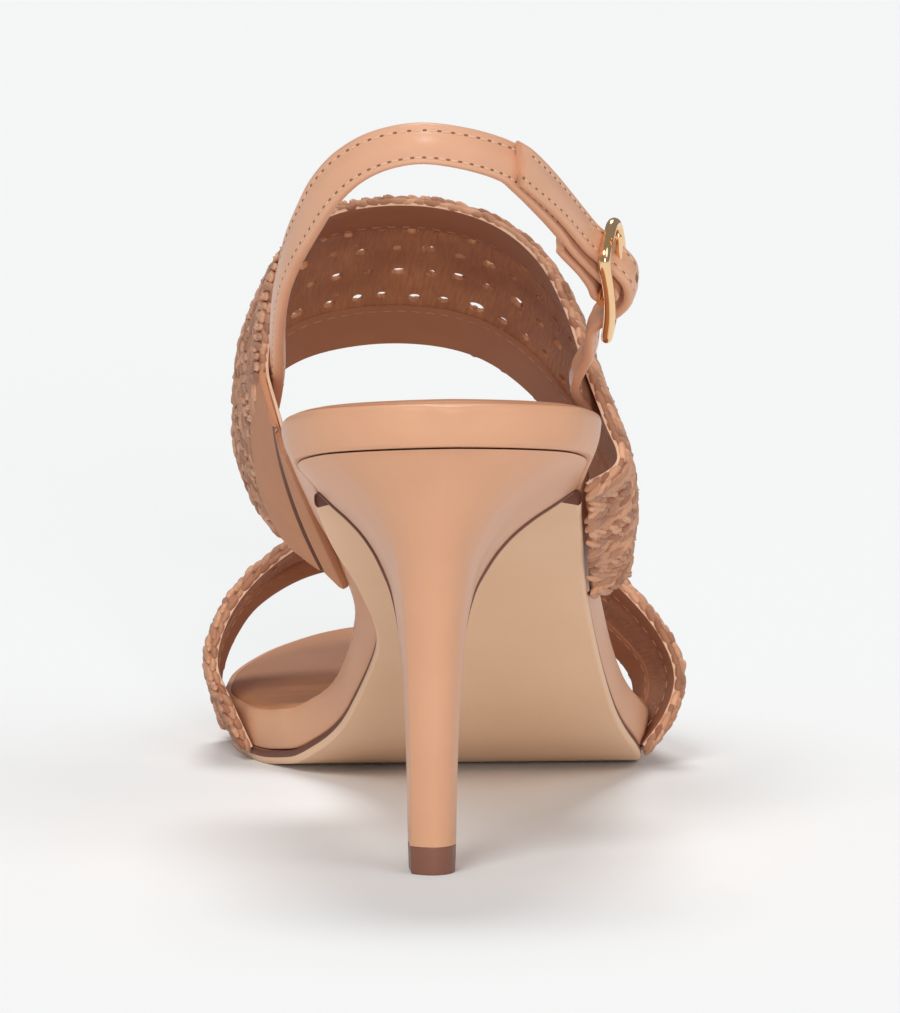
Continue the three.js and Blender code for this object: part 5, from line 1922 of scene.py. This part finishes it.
@dataclass
class Closure:
    """Ankle strap, billet and buckle, in millimetres.

    Attributes:
        form: The sole; not used.
        finishes: The finishes.
        instep: The band that the straps start in.
        buckle: The buckle's place.
        strap_width: Width of the ankle strap.
        strap_thickness: Its thickness.
        fold_thickness: Its thickness in the fold round the bar.
        billet_width: Width of the billet.
        billet_thickness: Its thickness.
        billet_slant: How far its end is cut on the slant.
        hole_shares: Shares of the billet's length where a disc of painted shade shows a punched hole.
        clearance: Gap between parts.
    """

    form: SoleForm
    finishes: Finishes
    instep: WovenBand
    buckle: BucklePlace
    strap_width: float = 7.2
    strap_thickness: float = 2.0
    fold_thickness: float = 1.5
    billet_width: float = 6.6
    billet_thickness: float = 1.7
    billet_slant: float = 5.5
    hole_shares: tuple[float, ...] = (0.3, 0.405, 0.51, 0.62)
    clearance: float = 0.3

    def root(self, rows: tuple[tuple[float, float], ...], depth: float) -> np.ndarray:
        """Points of a strap's root under the instep band's inner face.

        Args:
            rows: Shares round and across the band.
            depth: Depth under the band's inner face.

        Returns:
            Points.
        """
        rear, front = self.instep.rear_curve, self.instep.front_curve
        points = []
        for u, v in rows:
            around = rear.at(u + 0.01) * (1 - v) + front.at(u + 0.01) * v
            around = around - rear.at(u - 0.01) * (1 - v) - front.at(u - 0.01) * v
            outward = unit(np.cross(around, front.at(u) - rear.at(u)))
            middle = rear.at(u) * (1 - v) + front.at(u) * v
            points.append(middle + outward * (self.instep.crown * 4 * v * (1 - v) - depth))
        return np.array(points)

    def ankle_strap(self, templates: Templates, tree: bpy.types.NodeTree) -> None:
        """Strap from the inner side round the ankle, folded round the bar.

        Args:
            templates: The small shapes.
            tree: The scatter tree.
        """
        buckle = self.buckle
        root = self.root(STRAP_ROOT, self.strap_thickness / 2 + 3 * self.clearance)
        loop = np.vstack([root, buckle.loop_points(ANKLE_LOOP)])
        radius = buckle.bar / 2 + self.clearance * 1.2 + self.fold_thickness / 2
        angles = np.radians([90, 130, 180, 230])
        fold = buckle.local(radius * np.cos(angles), 0.0, radius * np.sin(angles))
        points = np.vstack([loop, buckle.course(STRAP_COURSE), fold, buckle.course(STRAP_RETURN)])
        curve = SmoothCurve(points)
        start = SmoothCurve(loop).length / curve.length + buckle.length * 0.825 / curve.length
        strap = Strap(
            "ankle_strap_leather", curve, buckle, self.strap_width, self.strap_thickness, Run.DOWN,
            skive=(start, start + buckle.length * 0.25 / curve.length, self.fold_thickness),
        )
        place_piece(strap.body(self.finishes.strap, 420), "upper_leather", "ankle_strap")
        strap.seam(templates, self.finishes, tree, (0.05, start - 0.01), True)

    def billet(self, templates: Templates, tree: bpy.types.NodeTree) -> None:
        """Strap with a slanted end, through the buckle, its punched holes shown as discs of painted shade.

        Args:
            templates: The small shapes.
            tree: The scatter tree.
        """
        root = self.root(BILLET_ROOT, self.billet_thickness / 2 + 3 * self.clearance)
        curve = SmoothCurve(np.vstack([root, self.buckle.course(BILLET_COURSE)]))
        strap = Strap(
            "billet_strap_leather", curve, self.buckle, self.billet_width, self.billet_thickness, Run.UP,
            slant=self.billet_slant,
        )
        place_piece(strap.body(self.finishes.strap, 300), "upper_leather", "billet_strap")
        strap.seam(templates, self.finishes, tree, (0.12, 0.955), False)
        holes = Repeats()
        centre, along, _, face = strap.frame(np.array(self.hole_shares))
        # Flat discs in the prick colour: painted shade of the punched holes.
        holes.add(centre + face * (self.billet_thickness * 0.7 - 0.05), along, face, (1.7, 1.7, 0.16))
        piece = holes.piece("billet_holes", templates.prick, self.finishes.prick, tree)
        place_piece(piece, "upper_leather")

    def frame_piece(self) -> None:
        """Bowed buckle frame with round corners and its centre bar."""
        buckle = self.buckle
        radius = buckle.rail / 2
        half_length, half_width = buckle.length / 2 - radius, buckle.width / 2 - radius
        corner = half_width * 0.55
        path = []
        for up, across, start in ((1, 1, 0), (-1, 1, 1), (-1, -1, 2), (1, -1, 3)):
            for t in np.linspace(0, 1, 9):
                angle = (start + t) * math.pi / 2
                path.append((
                    up * (half_length - corner) + corner * math.cos(angle),
                    across * (half_width - corner) + corner * math.sin(angle),
                ))
            if up == across:
                path += [(up * s * half_length, across * half_width) for s in np.linspace(0.5, -0.5, 11)]
            else:
                path += [(up * half_length, across * s * (half_width - corner)) for s in (0.5, 0.0, -0.5)]
        up, across = np.array(path).T
        centres = buckle.local(up, across, buckle.setback - buckle.bow * (up / half_length) ** 2)
        along = unit(np.roll(centres, -1, axis=0) - np.roll(centres, 1, axis=0))
        out = square_to(np.broadcast_to(buckle.out, along.shape), along)
        side = np.cross(along, out)
        sides = 16
        points = tube_rings(centres, side, out, radius, sides)
        faces = loft_faces(len(centres), sides, closed=True)
        size = len(points)
        ends = np.linspace(half_width, -half_width, 9)
        path = buckle.local(0.0, ends, 0.0)
        up, out = (np.broadcast_to(direction, path.shape) for direction in (buckle.up, buckle.out))
        bar = tube_rings(path, up, out, buckle.bar / 2, sides)
        bar_faces = loft_faces(len(ends), sides)
        bar = fan_caps(bar, bar_faces, sides)
        faces += [tuple(size + i for i in face) for face in bar_faces]
        points = np.vstack([points, bar])
        piece = mesh_piece("buckle_frame_gold", points, faces, [self.finishes.gold], sharp=60)
        place_piece(piece, "buckle_metal", "buckle_frame")

    def prong(self) -> None:
        """Prong curled round the bar, with a rounded tip."""
        buckle = self.buckle
        radius = buckle.bar / 2 + self.clearance * 0.85 + buckle.prong / 2
        angles = np.radians([-50, -90, -135, -180, -225])
        curl = buckle.local(radius * np.cos(angles), 0.0, radius * np.sin(angles))
        curve = SmoothCurve(np.vstack([curl, buckle.course(PRONG_COURSE)]))
        share = np.linspace(0, 1, 70)
        centre, along = curve.at(share), curve.tangent(share)
        side = square_to(np.broadcast_to(buckle.across, along.shape), along)
        out = np.cross(side, along)
        end = (1 - share) * curve.length
        thick = buckle.prong / 2 * np.sqrt(np.clip(1 - (1 - np.clip(end / 0.8, 0, 1)) ** 2, 0.04, 1))
        sides = 14
        faces = loft_faces(len(share), sides)
        points = fan_caps(tube_rings(centre, side, out, thick, sides), faces, sides)
        piece = mesh_piece("buckle_prong_gold", points, faces, [self.finishes.gold], sharp=60)
        place_piece(piece, "buckle_metal", "buckle_prong")

    def dress(self, templates: Templates, tree: bpy.types.NodeTree) -> None:
        """Builds straps and buckle.

        Args:
            templates: The small shapes.
            tree: The scatter tree.
        """
        self.ankle_strap(templates, tree)
        self.billet(templates, tree)
        self.frame_piece()
        self.prong()


# Stage


@dataclass
class Stage:
    """Pale floor, soft light and the camera behind the heel.

    Attributes:
        azimuth: Angle of the camera round the heel, in degrees.
        elevation: Angle of the camera above the floor, in degrees.
        distance: Distance of the camera in metres.
        target: Point that it looks at.
        frame_width: Width that its view would take in at that point, before it is enlarged.
        enlarge: How much larger the view is than in the photo.
        sensor: Width of the camera's sensor in millimetres.
        reach: Half the floor's width in metres.
    """

    azimuth: float = -4.0
    elevation: float = 7.0
    distance: float = 1.8
    target: tuple[float, float, float] = (0.003, 0.0, 0.0644)
    frame_width: float = 0.2745
    enlarge: float = 1.75
    sensor: float = 36.0
    reach: float = 14.0

    def floor(self) -> None:
        """Large pale floor."""
        material, tree = shader_tree("matt white studio floor")
        finish_tree(tree, {"Base Color": linear("#F1F2F2"), "Roughness": 0.9, "Specular IOR Level": 0.1})
        mesh = bpy.data.meshes.new("floor")
        corners = [(x * self.reach, y * self.reach, 0) for x, y in ((-1, -1), (1, -1), (1, 1), (-1, 1))]
        mesh.from_pydata(corners, [], [(0, 1, 2, 3)])
        mesh.materials.append(material)
        piece = new_object("floor", mesh)

    def light(self, name: str, toward: tuple[float, float, float], strength: float, spread: float) -> None:
        """Wide soft source, far enough away to light the whole floor evenly.

        Args:
            name: Name of the lamp.
            toward: Direction from the shoe to the lamp.
            strength: Irradiance.
            spread: Width of the source in degrees.
        """
        lamp = bpy.data.lights.new(name, "SUN")
        lamp.energy = strength
        lamp.angle = math.radians(spread)
        made = new_object(name, lamp)
        made.rotation_euler = Vector(toward).to_track_quat("Z", "Y").to_euler()

    def lights(self) -> None:
        """White surroundings, dimmer as light than as background, and four wide lamps."""
        world = bpy.data.worlds.new("studio")
        world.use_nodes = True
        tree = world.node_tree
        tree.nodes.clear()
        seen = add_node(tree, "ShaderNodeLightPath").outputs["Is Camera Ray"]
        strength = between_values(tree, seen, 0.27, 0.905)
        sky = add_node(tree, "ShaderNodeBackground", {"Color": (1.0, 1.0, 1.0, 1.0), "Strength": strength})
        add_node(tree, "ShaderNodeOutputWorld", {"Surface": sky.outputs[0]})
        bpy.context.scene.world = world
        self.light("key", (-0.45, -1.0, 1.2), 1.15, 22.0)
        self.light("low", (0.03, -1.0, 0.2), 0.85, 9.0)
        self.light("fill", (0.7, -0.8, 0.9), 0.5, 40.0)
        self.light("top", (0.05, 0.7, 1.4), 1.25, 24.0)
        bpy.context.scene.view_settings.view_transform = "Standard"

    def camera(self) -> None:
        """Long lens behind and a little above the heel."""
        data = bpy.data.cameras.new("camera")
        data.sensor_fit = "HORIZONTAL"
        data.sensor_width = self.sensor
        data.lens = self.sensor * self.distance / self.frame_width * self.enlarge
        made = new_object("camera", data)
        a, e = math.radians(self.azimuth), math.radians(self.elevation)
        back = Vector((math.sin(a) * math.cos(e), -math.cos(a) * math.cos(e), math.sin(e)))
        made.location = Vector(self.target) + back * self.distance
        made.rotation_euler = (-back).to_track_quat("-Z", "Y").to_euler()
        bpy.context.scene.camera = made

    def build(self) -> None:
        """Builds the stage."""
        self.floor()
        self.lights()
        self.camera()


def main() -> None:
    """Builds every piece of the sandal and the stage."""
    logging.basicConfig(level=logging.INFO, format="%(name)s: %(message)s")
    form = SoleForm()
    finishes = Finishes()
    templates = Templates()
    tree = scatter_tree()
    platform = Platform(form, finishes)
    platform.footbed()
    platform.insole()
    platform.outsole()
    heel = Heel(form, finishes)
    heel.cover()
    heel.breast_edges_painted_shade()
    heel.top_lift()
    instep = WovenBand(
        "instep_band", form, finishes, INSTEP_REAR, INSTEP_FRONT, centre=3.5, span=62.0, rise=55.0,
        feet=(0.203, 0.423, 0.198, 0.414), tuck=3.5, crown=3.0, columns=44, cells=9, period=3,
        linings=(0.235, 0.2), bare_end=0.125, start=0.016, between=True,
    )
    instep.dress(templates, tree)
    toe = WovenBand(
        "toe_band", form, finishes, TOE_REAR, TOE_FRONT, centre=11.0, span=85.0, rise=37.0,
        feet=(0.7, 0.819, 0.634, 0.767), tuck=0.0, crown=1.5, columns=40, cells=7, period=4,
        linings=(0.28, 0.28),
    )
    toe.dress(templates, tree)
    Closure(form, finishes, instep, BucklePlace(form)).dress(templates, tree)
    templates.remove()
    Stage().build()


if __name__ == "__main__":
    main()
